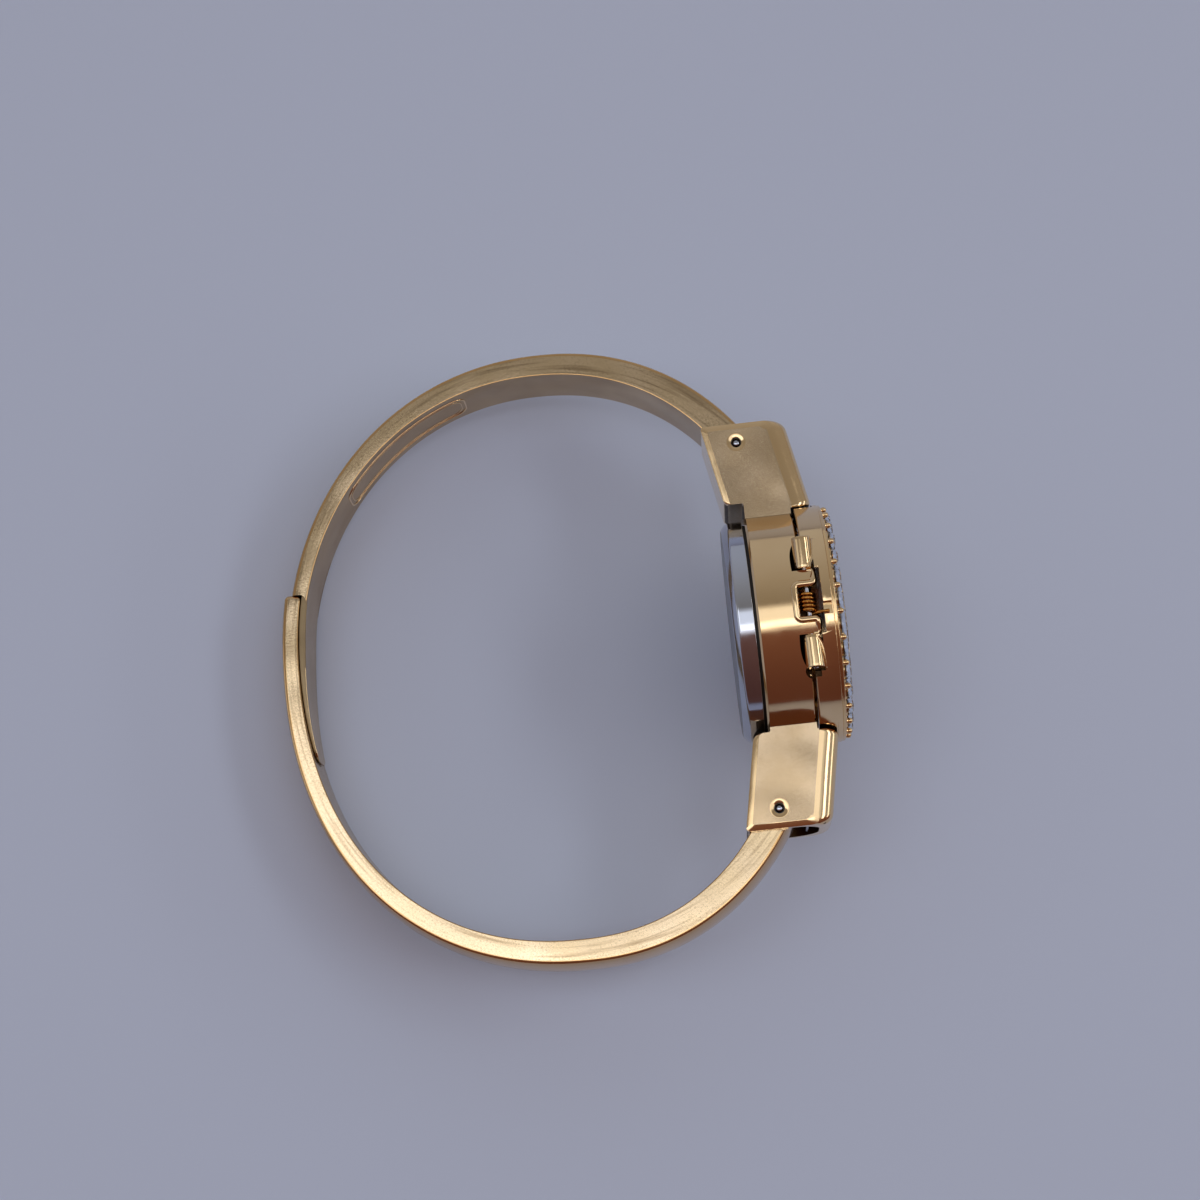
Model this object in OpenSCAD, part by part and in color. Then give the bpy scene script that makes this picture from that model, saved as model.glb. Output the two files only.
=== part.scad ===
// Bangle wristwatch with a sprung, stone-set cover that flips open over the dial.
// Frame: X points out through the dial, Y to 12 o'clock, Z to 9 o'clock, where the
// cover's hinge is. The origin is the middle of the case back's outer face.
// Head parts are drawn in the face frame: x to 3 o'clock, y to 12 o'clock, z outwards.

/* [Case] */
// Radius of the gold case drum
case_r = 12.0; // [10.5:0.1:13.5]
// Thickness of the drum's wall
case_wall = 1.2; // [1.15:0.05:1.4]
// Height of the parting line of the case above the outer face of the back
case_top = 7.45; // [7.3:0.05:8.5]
// Distance of the steel back's band inside the drum's outer face
back_in = 0.6; // [0.4:0.05:0.7]
// Height of the steel band of the back
back_h = 2.5; // [2.2:0.1:2.7]
// Thickness of the back's floor
back_floor = 0.7; // [0.5:0.05:0.8]
// Chamfer round the back
back_chamfer = 0.5; // [0.1:0.05:0.6]
// Distance of the crystal's edge inside the drum's outer face
crystal_in = 2.2; // [2.1:0.05:3]
// Thickness of the crystal
crystal_t = 1.0; // [0.8:0.05:1.05]
// Distance of the dial's edge inside the drum's outer face
dial_in = 1.9; // [1.6:0.05:2.2]
// Thickness of the dial
dial_t = 0.4; // [0.3:0.05:0.45]

/* [Cover] */
// How far the cover's rim stands outside the drum
lid_over = 0.5; // [0.3:0.05:0.8]
// Gap between the case and the cover at the parting line
parting_gap = 0.3; // [0.2:0.05:0.4]
// Height of the cover's rim
lid_h = 2.45; // [2.3:0.05:2.8]
// Thickness of the cover's plate
lid_plate = 0.9; // [0.7:0.05:1.0]
// Thickness of the rim's wall
lid_wall = 1.1; // [0.8:0.05:1.3]
// Thickness of the setting that carries the stones
setting_t = 0.35; // [0.25:0.05:0.5]
// Rise of the setting from each ring of stones to the next one inwards
setting_step = 0.18; // [0.1:0.02:0.3]
// Distance of the outermost ring of stones inside the cover's edge
ring_in = 1.75; // [1.7:0.05:2]
// Radius of the innermost ring of stones
first_ring = 2.95; // [2.7:0.05:3.1]
// Share of the distance between two rings that a stone's radius takes
stone_share = 0.392; // [0.3:0.01:0.395]
// Share of that distance between two stones of a ring
gap_share = 0.14; // [0.12:0.01:0.3]
// Height of a stone above its seat
stone_h = 0.8; // [0.5:0.05:1.0]
// Radius of the bead on an outer prong
bead_r = 0.3; // [0.2:0.01:0.32]
// Height of a prong to the middle of its bead
prong_h = 0.6; // [0.4:0.05:0.9]

/* [Cover hinge] */
// Distance of the hinge pin inside the drum's outer face
hinge_in = 0.8; // [0.7:0.05:0.9]
// Height of the hinge pin above the parting line
hinge_up = 0.35; // [0.3:0.05:0.45]
// Radius of the hinge pin
hinge_pin_r = 0.3; // [0.25:0.01:0.32]
// Radius of a knuckle
knuckle_r = 0.95; // [0.7:0.01:1]
// Length of a knuckle
knuckle_l = 3.3; // [2.5:0.1:3.5]
// Half of the width of the case's hinge block
block_half = 3.3; // [3:0.1:3.6]
// Half of the width of the spring's window
window_half = 1.85; // [1.5:0.05:2]
// Diameter of the spring's wire
wire_d = 0.28; // [0.2:0.02:0.28]
// Radius of the spring from its axis to the middle of its wire
coil_r = 0.7; // [0.55:0.01:0.72]
// Turns of the spring
coil_turns = 3; // [2:1:3]
// Distance from one turn of the spring to the next
coil_pitch = 0.74; // [0.7:0.01:0.76]

/* [Crown and release] */
// Height of the winding stem above the back's outer face
stem_h = 3.3; // [3.2:0.05:3.5]
// Radius of the crown
crown_r = 1.55; // [1.2:0.05:1.6]
// Length of the crown
crown_l = 1.7; // [1.4:0.1:2.2]
// Flutes round the crown
crown_flutes = 24; // [16:1:30]
// Radius of the winding stem
stem_r = 0.35; // [0.25:0.01:0.36]
// Travel of the release button
button_travel = 0.35; // [0.25:0.05:0.4]
// Radius of the release button's head
button_r = 0.8; // [0.6:0.05:0.85]

/* [End pieces] */
// Width of an end piece across the bangle
end_half_w = 4.6; // [4.5:0.1:5.2]
// Thickness of the end piece's side plates
end_plate = 0.7; // [0.5:0.05:0.8]
// Thickness of the end piece's dial-side wall
end_wall = 0.8; // [0.6:0.05:1.2]
// Thickness of the end piece's wrist-side wall
end_back = 0.6; // [0.4:0.05:0.8]
// Depth of an end piece from the wrist side to the dial side
end_depth = 8.7; // [8.2:0.1:9.2]
// Angle that each end piece leans back from the case
end_lean = 10.8; // [8:0.2:12]
// Gap between the drum's outermost line and an end piece
end_gap = 0.4; // [0.3:0.05:0.8]
// Length of an end piece
end_l = 9.1; // [8.8:0.1:10]
// Radius of the end piece's rounded long edges
end_round = 1.4; // [0.8:0.1:1.8]
// Distance of an arm pin from the end piece's far edge
pin_in = 2.05; // [1.9:0.05:2.2]
// Height of an arm pin above the back's outer face
pin_x = 2.7; // [2.5:0.05:2.9]
// Radius of an arm pin
arm_pin_r = 0.5; // [0.4:0.01:0.6]

/* [Arms] */
// Width of the arms
arm_w = 7.5; // [6.5:0.1:7.6]
// Distance from the back to the middle of the oval
oval_back = 18.4; // [18:0.1:19]
// Inner reach of the oval behind its middle, on the lower arm
oval_deep = 26.85; // [24:0.05:30]
// Distance from an arm pin to the arm's inner face, towards the wrist
arm_in = 1.83; // [1.7:0.01:1.9]
// Inner half height of the lower arm's side of the oval
lower_half = 30.4; // [27:0.1:34]
// Inner half height of the upper arm's side of the oval
upper_half = 29.5; // [26:0.1:33]
// Roundness of the oval, where 2 is an ellipse
oval_power = 2.2; // [2.1:0.05:2.3]
// Thickness of an arm at its end piece
arm_t_head = 3.15; // [2.8:0.05:3.3]
// Thickness of an arm at its free end
arm_t_end = 1.7; // [1.5:0.05:1.8]
// Rise of the domed outer face of an arm
arm_dome = 0.45; // [0.2:0.05:0.6]
// Distance from the middle line at which the lower arm ends
lower_end_y = 8.4; // [6:0.2:9]
// Thickness of the tongue that slides inside the lower arm
tongue_t = 0.7; // [0.5:0.05:0.8]
// Half of the width of the tongue
tongue_half_w = 3.4; // [2:0.1:3.5]
// Distance past the middle line at which the tongue ends
tongue_end_y = 9.4; // [8:0.2:10]

/* [Clearances] */
// Running clearance on a radius
run = 0.04; // [0.02:0.01:0.05]
// Gap between an arm and the end piece's plates
arm_gap = 0.15; // [0.1:0.01:0.2]
// Gap between the tongue and the lower arm
tongue_gap = 0.1; // [0.08:0.01:0.15]
// Gap between pieces that are pressed or soldered together
seat_gap = 0.01; // [0.005:0.005:0.02]

/* [Hidden] */

$fn = 64;
cut = 0.5;                       // how far a cutting solid runs past a face
gold = "#d8b36a";
steel = "#c9ccd2";

// Radii and places that follow the drum
bore_r = case_r - case_wall;     // bore of the case behind the dial
back_r = case_r - back_in;
crystal_r = case_r - crystal_in;
dial_r = case_r - dial_in;
lid_r = case_r + lid_over;
hinge_out = case_r - hinge_in;
end_near = case_r + end_gap;
end_far = end_near + end_l;
pin_y = end_far - pin_in;

// Heights in the face frame
lid_z = case_top + parting_gap;
lid_plate_z = lid_z + lid_h - lid_plate;
lid_top = lid_z + lid_h;
seat_z = lid_top + setting_t;
hinge_z = case_top + hinge_up;
crystal_seat_z = case_top - crystal_t - 0.1;
dial_seat_z = 4.6;
dial_z = dial_seat_z - 0.05 - dial_t;

// Radii inside the case
back_wall_in = bore_r - 0.4;     // inside of the steel band
flange_r = crystal_r - 0.6;      // ring between dial and crystal
crystal_seat_r = crystal_r + 0.2;
gasket_r = [back_r - 0.5, back_r - 0.2];
gasket_h = 0.4;

// Movement, behind the dial
holder_r = back_wall_in - 0.1;
movement_r = holder_r - 2.55;
movement_z = 1.05;
movement_h = dial_z - movement_z - 0.05;
battery_r = 0.43 * movement_r;
battery_h = 2.1;
battery_at = [-0.5 * movement_r, 0.08 * movement_r];
strap_t = 0.2;
strap_half_w = 1.1;
screw_at = [for (s = [-1, 1]) battery_at + [0, s * (battery_r + 1.2)]];
screw_r = 0.35;
screw_head_r = 0.75;
stem_in = 0.6 * movement_r;      // where the stem's hole in the movement starts

// Hands
arbor_r = 0.4;
pipe_r = 0.75;
hour_z = dial_seat_z + 0.35;
minute_z = hour_z + 0.35;
hand_t = 0.12;
hour_l = 0.485 * dial_r;
minute_l = 0.735 * dial_r;
marker_in = 0.69 * dial_r;
marker_l = 0.17 * dial_r;
marker_w = 0.32;

// Cover
lid_lip = 0.1;                   // how far the rim stands past the setting
setting_r = lid_r - lid_lip;
ring_r = lid_r - ring_in;
ring_step = (ring_r - first_ring) / 3;
stone_r = stone_share * ring_step;
ring_counts = [for (i = [0 : 3]) floor(2 * PI * seat_r(i) / ((2 * stone_share + gap_share) * ring_step))];
middle_stone_r = 0.49 * first_ring;
middle_bead_ring = 0.61 * first_ring;
outer_bead_ring = setting_r - bead_r - 0.22;
inner_bead_r = min(bead_r, 0.1 * ring_step);
scallop_r = case_r + 0.05;       // rear of the rim beside the end pieces
scallop_h = 1.95;
scallop_half = end_half_w + 0.5;
knuckle_gap = 0.15;              // between a knuckle and the hinge block
knuckle_y = block_half + knuckle_gap;
pocket_r = knuckle_r + 0.25;
block_top = case_top + 0.95;
cut_back = block_top + 0.7;      // the rim between the knuckles starts here
knuckle_cut = hinge_z + knuckle_r + 0.05;  // the rim beside the knuckles starts here
leg_y = -coil_pitch * coil_turns / 2;
notch = [leg_y - 0.42, leg_y + 0.85];
notch_top = lid_top - 0.1;
window_in = hinge_out - coil_r - wire_d / 2 - 0.1;
window_z = hinge_z - 1.3;

// Catch and release, at 3 o'clock
catch_x = bore_r + 0.05;
catch_t = 0.25;
catch_half = 0.8;
catch_tip_z = case_top - 1.55;
barb = 0.2;
slot_x = [catch_x - 0.2, catch_x + catch_t + barb + 0.2];
slot_z = catch_tip_z - 0.3;
button_z = case_top - 1.25;
button_hole_r = 0.5;
button_head_l = 0.65;
button_in = case_r - 0.05;

// Crown
tube_r = 0.8;
tube_x = [bore_r + 0.05, case_r + 0.55];
crown_x = case_r + 0.3;
crown_recess_r = tube_r + 0.15;
crown_recess_l = 0.8;
flute_d = 0.12;

// End pieces
end_foot_x = 0.8;                // wrist-side corner of an end piece beside the case
end_step_x = [back_h + 0.2, case_top + 0.2];
end_corner = 1.3;
end_near_corner = 1.2;            // the lower end piece's near corners
end_near_rise = 0.8;              // its wrist side starts nearer to the head
end_inner_round = 0.9;
cavity_half = end_half_w - end_plate;
hole_r = arm_pin_r - 0.06;
tip_r = hole_r - run;
tip_l = end_plate - 0.15;
sink_r = hole_r + 0.16;
sink_l = 0.25;
dome_r = 0.7;                    // curve of a pin's domed end
mouth_gap = 0.08;                // between an arm and the wall that it rests against
mouth_room = 1.5;                // how far the wall's opening reaches over the arm
relief = 0.03;                   // how far that opening cuts into the plates beside it

// Arms
arm_half = min(arm_w / 2, cavity_half - arm_gap);
eye_r = 2.2;
arm_rings = 44;
upper_power = 2.05;
upper_deep = oval_deep - 0.5;
shoulder_y = lower_end_y + 0.45;
lower_span = [-35, -180 - half_turn(lower_end_y - arm_t_end / 2, lower_half, oval_power)];
upper_span = [35, 180 - half_turn(shoulder_y, upper_half, upper_power)];
tongue_seat = 4.5;               // how far the tongue is let in under the upper arm
leaf_t = 0.22;
leaf_half = cavity_half * 2 / 3;
leaf_seat = 4.2;                 // from the end piece's near edge to the leaf spring's foot
leaf_rise = 0.98;                // from the arm's outer face by the pin to the leaf spring's tip

function half_turn(y, half, power) = asin(pow(y / half, power / 2));
function spow(v, p) = v < 0 ? -pow(-v, p) : pow(v, p);

// Inner reach of the oval before its middle, so that it passes the arm's pin
function front(half) = (pin_x - arm_in + oval_back) / pow(1 - pow(pin_y / half, oval_power), 1 / oval_power);

// A point of the oval inside the bangle, where a is the angle round it
function oval(a, deep, half, power) =
  [-oval_back + (cos(a) < 0 ? deep : front(half)) * spow(cos(a), 2 / (cos(a) < 0 ? power : oval_power)),
   half * spow(sin(a), 2 / (cos(a) < 0 ? power : oval_power))];

// The outward direction at that point, from two points close to it
function unit(v) = v / norm(v);
function outward(a, deep, half, power) =
  let (d = unit(oval(a + 0.3, deep, half, power) - oval(a - 0.3, deep, half, power)))
  [d.y, -d.x];

// Thickness of an arm, where u runs from 0 at its free end to 1 at its head
function arm_t(u) = arm_t_end + (arm_t_head - arm_t_end) * pow(u, 1.35);

// One cross-section of an arm: flat inside, flat edges, domed outside
dome_steps = 4;
function section(p, n, t, half) = concat(
  [[p.x, p.y, -half], [p.x, p.y, half]],
  [for (k = [0 : dome_steps])
    let (s = 1 - 2 * k / dome_steps, q = p + n * (t + arm_dome * (1 - s * s) * t / arm_t_head))
    [q.x, q.y, half * s]]);

function loft_faces(rings, n) = concat(
  [[for (k = [n - 1 : -1 : 0]) k]],
  [for (r = [0 : rings - 2], k = [0 : n - 1])
    [r * n + k, r * n + (k + 1) % n, (r + 1) * n + (k + 1) % n, (r + 1) * n + k]],
  [[for (k = [0 : n - 1]) (rings - 1) * n + k]]);

function turned(faces) = [for (f = faces) [for (k = [len(f) - 1 : -1 : 0]) f[k]]];

module face() {
  rotate([0, 90, 0]) children();
}

module on_stem(h, x = 0) {
  translate([x, 0, h]) rotate([0, 90, 0]) children();
}

module along_hinge(y, r, l) {
  translate([-hinge_out, y + l / 2, hinge_z]) rotate([90, 0, 0]) cylinder(r = r, h = l);
}

module ring(r_out, r_in, z, h) {
  translate([0, 0, z]) difference() {
    cylinder(r = r_out, h = h);
    translate([0, 0, -cut]) cylinder(r = r_in, h = h + 2 * cut);
  }
}

module both_sides() {
  children();
  mirror([0, 1, 0]) children();
}

module case_body() {
  color(gold) face() difference() {
    union() {
      rotate_extrude() polygon([
        [bore_r, back_h], [case_r - 0.15, back_h], [case_r, back_h + 0.15],
        [case_r, case_top - 0.12], [case_r - 0.12, case_top], [crystal_seat_r, case_top],
        [crystal_seat_r, crystal_seat_z], [flange_r, crystal_seat_z],
        [flange_r + 0.5, dial_seat_z], [bore_r, dial_seat_z]]);
      intersection() {
        translate([0, 0, case_top - cut]) cylinder(r = case_r, h = block_top - case_top + cut);
        translate([-case_r, -block_half, case_top - cut])
          cube([case_r - window_in + 0.15, 2 * block_half, block_top - case_top + cut]);
      }
      intersection() {
        both_sides() along_hinge((window_half + block_half) / 2, knuckle_r + 0.05, block_half - window_half);
        cylinder(r = case_r + 0.2, h = lid_top);
      }
    }
    both_sides() along_hinge(knuckle_y + knuckle_l / 2, pocket_r, knuckle_l + 2 * knuckle_gap);
    along_hinge(0, hinge_pin_r + seat_gap, 2 * block_half + 2 * cut);
    translate([-case_r - cut, -window_half, window_z])
      cube([case_r + cut - window_in, 2 * window_half, block_top + cut - window_z]);
    on_stem(stem_h, bore_r - cut) cylinder(r = tube_r + seat_gap, h = case_r - bore_r + 2 * cut);
    on_stem(button_z, slot_x[0]) cylinder(r = button_hole_r, h = case_r);
    translate([slot_x[0], -catch_half - 0.2, slot_z])
      cube([slot_x[1] - slot_x[0], 2 * catch_half + 0.4, case_top + cut - slot_z]);
  }
}

module case_back() {
  color(steel) face() difference() {
    rotate_extrude() polygon([
      [0, 0], [back_r - back_chamfer, 0], [back_r, back_chamfer], [back_r, back_h],
      [gasket_r[1], back_h], [gasket_r[1], back_h - gasket_h], [gasket_r[0], back_h - gasket_h],
      [gasket_r[0], back_h], [bore_r - 0.05, back_h], [bore_r - 0.05, back_h + 0.3],
      [back_wall_in, back_h + 0.3], [back_wall_in, back_floor], [0, back_floor]]);
    translate([-1.2, -back_r - cut, back_h - 0.35]) cube([2.4, cut + 0.35, 0.35 + cut]);
  }
}

module back_gasket() {
  color("#202020") face()
    ring(gasket_r[1] - 0.02, gasket_r[0] + 0.02, back_h - gasket_h, gasket_h);
}

module crystal() {
  color("#dfe8ee", 0.4) face() rotate_extrude() polygon([
    [0, crystal_seat_z], [crystal_r, crystal_seat_z],
    [crystal_r, crystal_seat_z + crystal_t - 0.15],
    [crystal_r - 0.15, crystal_seat_z + crystal_t], [0, crystal_seat_z + crystal_t]]);
}

module crystal_gasket() {
  color("#303030") face()
    ring(crystal_seat_r - seat_gap, crystal_r + seat_gap, crystal_seat_z, crystal_t - 0.15);
}

module dial() {
  color("#f4f1ea") face() ring(dial_r, pipe_r + 0.15, dial_z, dial_t);
}

module hour_markers() {
  color(gold) face() for (h = [0 : 11]) rotate(-30 * h)
    translate([-marker_w / 2 * (h % 3 == 0 ? 1.75 : 1), marker_in, dial_z + dial_t])
      cube([marker_w * (h % 3 == 0 ? 1.75 : 1), marker_l, 0.14]);
}

// A dauphine hand: a long rhombus round its boss
module hand(l, w, boss, hole, z, h) {
  difference() {
    translate([0, 0, z]) union() {
      linear_extrude(h) polygon([[0, l], [-w / 2, w], [0, -0.22 * l], [w / 2, w]]);
      cylinder(r = boss, h = h);
    }
    if (hole > 0) translate([0, 0, z - cut]) cylinder(r = hole, h = h + 2 * cut);
  }
}

module hour_hand() {
  color(gold) face() union() {
    rotate(-305) hand(hour_l, 1.1, 1.05, arbor_r + run, hour_z, hand_t);
    ring(pipe_r, arbor_r + run, dial_z - 0.25, hour_z - dial_z + 0.25 + hand_t / 2);
  }
}

module minute_hand() {
  color(gold) face() union() {
    rotate(-60) hand(minute_l, 0.95, 0.8, 0, minute_z, hand_t);
    translate([0, 0, dial_z - 0.8]) cylinder(r = arbor_r, h = minute_z - dial_z + 0.8 + hand_t + 0.1);
  }
}

module movement() {
  color("#b9b4a8") face() difference() {
    union() {
      translate([0, 0, movement_z]) cylinder(r = movement_r, h = movement_h);
      translate([0, 0, movement_z + movement_h - 0.6]) cylinder(r = movement_r + 0.35, h = 0.5);
    }
    translate([battery_at.x, battery_at.y, movement_z - cut]) cylinder(r = battery_r + 0.05, h = battery_h + 0.1 + cut);
    translate([0, 0, dial_z - 0.3]) cylinder(r = pipe_r + 0.05, h = 1);
    translate([0, 0, dial_z - 0.9]) cylinder(r = arbor_r + run, h = 1);
    on_stem(stem_h, stem_in) cylinder(r = stem_r + run, h = movement_r);
    for (p = screw_at) translate([p.x, p.y, movement_z - cut]) cylinder(r = screw_r, h = 1.2 + cut);
    translate([0.54 * movement_r, 0, movement_z - cut]) cylinder(r = 0.245 * movement_r, h = 0.6 + cut);
    translate([0.28 * movement_r, 0.59 * movement_r, movement_z - cut])
      cylinder(r = 0.155 * movement_r, h = 0.4 + cut);
  }
}

module movement_holder() {
  color("#e9e6dc") face() difference() {
    union() {
      ring(holder_r, movement_r + 0.4, back_floor + 0.05, dial_z - back_floor - 0.1);
      ring(movement_r + 0.5, movement_r + 0.05, back_floor + 0.05, 2.0);
    }
    on_stem(stem_h, movement_r - cut) cylinder(r = stem_r + 0.25, h = holder_r);
  }
}

module battery() {
  color(steel) face() translate([battery_at.x, battery_at.y, movement_z - 0.05]) union() {
    cylinder(r = battery_r, h = battery_h - 0.4);
    cylinder(r = battery_r - 0.5, h = battery_h);
  }
}

module battery_strap() {
  color("#cdb98a") face() difference() {
    union() {
      translate([screw_at[0].x - strap_half_w, screw_at[0].y, back_floor + 0.05])
        cube([2 * strap_half_w, screw_at[1].y - screw_at[0].y, strap_t]);
      for (p = screw_at) translate([p.x, p.y, back_floor + 0.05]) cylinder(r = strap_half_w, h = strap_t);
    }
    for (p = screw_at) translate([p.x, p.y, 0]) cylinder(r = screw_r + 0.05, h = 2);
    for (p = screw_at) translate([p.x, p.y, 0]) cylinder(r = screw_head_r + 0.02, h = back_floor + 0.05 + strap_t - 0.1);
  }
}

module strap_screws() {
  color(steel) face() for (p = screw_at) translate([p.x, p.y, back_floor + 0.05]) difference() {
    union() {
      cylinder(r = screw_head_r, h = strap_t - 0.1);
      cylinder(r = screw_r, h = 1.3);
    }
    translate([-1, -0.06, -cut]) cube([2, 0.12, cut + 0.05]);
  }
}

module crown_tube() {
  color(steel) face() on_stem(stem_h, tube_x[0]) difference() {
    cylinder(r = tube_r, h = tube_x[1] - tube_x[0]);
    translate([0, 0, -cut]) cylinder(r = stem_r + run, h = 4);
  }
}

module winding_stem() {
  color(steel) face() on_stem(stem_h, stem_in + 0.5)
    cylinder(r = stem_r, h = crown_x + crown_l - 0.5 - stem_in - 0.5);
}

module crown() {
  color(gold) face() on_stem(stem_h, crown_x) difference() {
    union() {
      linear_extrude(crown_l - 0.3) polygon([for (k = [0 : 4 * crown_flutes - 1])
        let (a = 90 * k / crown_flutes, r = crown_r - (k % 4 < 2 ? 0 : flute_d)) r * [cos(a), sin(a)]]);
      translate([0, 0, crown_l - 0.3]) cylinder(r1 = crown_r - flute_d, r2 = crown_r - flute_d - 0.3, h = 0.3);
    }
    translate([0, 0, -cut]) cylinder(r = crown_recess_r, h = crown_recess_l + cut);
    cylinder(r = stem_r + seat_gap, h = crown_l - 0.5 + seat_gap);
  }
}

module release_button() {
  color(gold) face() on_stem(button_z, button_in) union() {
    cylinder(r = button_hole_r - run, h = case_r + button_travel - button_in + 0.1);
    translate([0, 0, case_r + button_travel - button_in]) cylinder(r = button_r, h = button_head_l - 0.2);
    translate([0, 0, case_r + button_travel - button_in + button_head_l - 0.2])
      cylinder(r1 = button_r, r2 = button_r - 0.2, h = 0.2);
  }
}

module lid_frame() {
  color(gold) face() difference() {
    union() {
      difference() {
        rotate_extrude() polygon([
          [0, lid_plate_z], [lid_r - lid_wall, lid_plate_z], [lid_r - lid_wall, lid_z],
          [lid_r - 0.12, lid_z], [lid_r, lid_z + 0.12], [lid_r, lid_top - 0.1],
          [lid_r - 0.1, lid_top], [0, lid_top]]);
        rim_cuts();
      }
      both_sides() along_hinge(knuckle_y + knuckle_l / 2, knuckle_r, knuckle_l);
      both_sides() intersection() {
        translate([-hinge_out - 0.5, knuckle_y, hinge_z])
          cube([1.6, knuckle_l, lid_plate_z + 0.2 - hinge_z]);
        cylinder(r = lid_r, h = lid_top);
      }
    }
    along_hinge(0, hinge_pin_r + run, 2 * (knuckle_y + knuckle_l) + 2 * cut);
  }
}

// What is cut from the rim: room for the hinge, the spring's leg and the end pieces
module rim_cuts() {
  both_sides() translate([-lid_r - cut, 0, lid_z - cut])
    cube([lid_r + cut - hinge_out + 1.1, knuckle_y + knuckle_l + 0.2, knuckle_cut + cut - lid_z]);
  translate([-lid_r - cut, -knuckle_y, lid_z - cut])
    cube([lid_r + cut - hinge_out + 1.1, 2 * knuckle_y, cut_back + cut - lid_z]);
  translate([-lid_r - cut, notch[0], lid_z])
    cube([lid_r + cut - hinge_out - 0.3, notch[1] - notch[0], notch_top - lid_z]);
  both_sides() intersection() {
    ring(lid_r + cut, scallop_r, lid_z - cut, scallop_h + cut);
    translate([-scallop_half, 0, lid_z - cut]) cube([2 * scallop_half, lid_r + cut, scallop_h + cut]);
  }
}

module lid_catch() {
  color(steel) face() union() {
    translate([catch_x, -catch_half, catch_tip_z])
      cube([catch_t, 2 * catch_half, lid_plate_z - catch_tip_z]);
    translate([catch_x + catch_t, catch_half, catch_tip_z]) rotate([90, 0, 0])
      linear_extrude(2 * catch_half) polygon([[-0.1, 0], [0, 0], [barb, 0.3], [0, 0.4], [-0.1, 0.4]]);
  }
}

module lid_hinge_pin() {
  color(steel) face() along_hinge(0, hinge_pin_r, 2 * (knuckle_y + knuckle_l) + 0.1);
}

// The cover's spring: one wire, with a leg to the case, its turns and a leg to the rim
curl_rings = 8;
spring_path = concat(
  [[-hinge_out + coil_r, -leg_y, hinge_z - 0.95]],
  [for (k = [0 : coil_turns * curl_rings])
    let (a = 360 * k / curl_rings)
    [-hinge_out + coil_r * cos(a), -leg_y - coil_pitch * k / curl_rings, hinge_z + coil_r * sin(a)]],
  [[-hinge_out + coil_r, leg_y - 0.1, hinge_z + 0.5]]);

// Least gap between two parts of the wire that are most of a turn apart
near_rings = curl_rings * 3 / 4;
spring_gap = min([for (i = [0 : len(spring_path) - 1], k = [0 : len(spring_path) - 1])
  if (k - i > near_rings) norm(spring_path[i] - spring_path[k])]) - wire_d;
echo(spring_gap = spring_gap);

module lid_spring() {
  color("#b07a3c") face() spring_wire();
}

module spring_wire() {
  n = len(spring_path);
  sides = 6;
  points = [for (k = [0 : n - 1])
    let (d = unit(spring_path[min(k + 1, n - 1)] - spring_path[max(k - 1, 0)]),
         e = unit(cross(d, [0, 1, 0.05])), g = cross(d, e))
    for (s = [0 : sides - 1])
      spring_path[k] + wire_d / 2 * (e * cos(360 * s / sides) + g * sin(360 * s / sides))];
  polyhedron(points, turned(loft_faces(n, sides)));
}

// Radius and height of the seat of each ring of stones
function seat_r(i) = ring_r - i * ring_step;
function seat_up(i) = seat_z + i * setting_step;
function edge_r(i) = ring_r - (i - 0.5) * ring_step;

module prong(r, z, ball) {
  translate([r, 0, z - 0.1]) cylinder(r = ball * 0.8, h = prong_h + 0.1, $fn = 20);
  translate([r, 0, z + prong_h]) sphere(r = ball, $fn = 20);
}

module stone_setting() {
  color(gold) face() union() {
    translate([0, 0, lid_top]) cylinder(r = setting_r, h = setting_t);
    for (i = [1 : 3]) translate([0, 0, lid_top]) cylinder(r = edge_r(i), h = seat_up(i) - lid_top);
    translate([0, 0, lid_top]) cylinder(r = middle_stone_r + 0.15, h = seat_up(4) - lid_top);
    for (k = [0 : ring_counts[0] - 1]) rotate(360 * (k + 0.5) / ring_counts[0])
      prong(outer_bead_ring, seat_z, bead_r);
    for (i = [0 : 2], k = [0 : ring_counts[i] - 1]) rotate(360 * (k + 0.5) / ring_counts[i])
      prong(edge_r(i + 1), seat_up(i), inner_bead_r);
    for (k = [0 : ring_counts[3] - 1]) rotate(360 * (k + 0.5) / ring_counts[3])
      prong(middle_bead_ring, seat_up(3), inner_bead_r);
  }
}

// A flat-backed round stone: a girdle under a cut crown
module stone(r, h) {
  cylinder(r = r, h = h * 0.4, $fn = 24);
  translate([0, 0, h * 0.4]) cylinder(r1 = r, r2 = r * 0.58, h = h * 0.6, $fn = 24);
}

module stone_ring(i) {
  for (k = [0 : ring_counts[i] - 1]) rotate(360 * k / ring_counts[i])
    translate([seat_r(i), 0, seat_up(i)]) stone(stone_r, stone_h);
}

module outer_stones() {
  color("#eef4fa") face() stone_ring(0);
}

module inner_stones() {
  color("#eef4fa") face() {
    for (i = [1 : 3]) stone_ring(i);
    translate([0, 0, seat_up(4)]) stone(middle_stone_r, stone_h * 1.15);
  }
}

// The section of an end piece across its leaning direction, rounded on the dial side
module hood_section(depth, half, r) {
  translate([-depth, 0]) union() {
    translate([0, -half]) square([depth - r, 2 * half]);
    translate([0, r - half]) square([depth, 2 * (half - r)]);
    for (s = [-1, 1]) translate([depth - r, s * (half - r)]) circle(r = r);
  }
}

module lean(x0) {
  translate([x0, end_near, 0]) rotate(end_lean) rotate([-90, 0, 0]) translate([0, 0, -8])
    linear_extrude(22) children();
}

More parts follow.
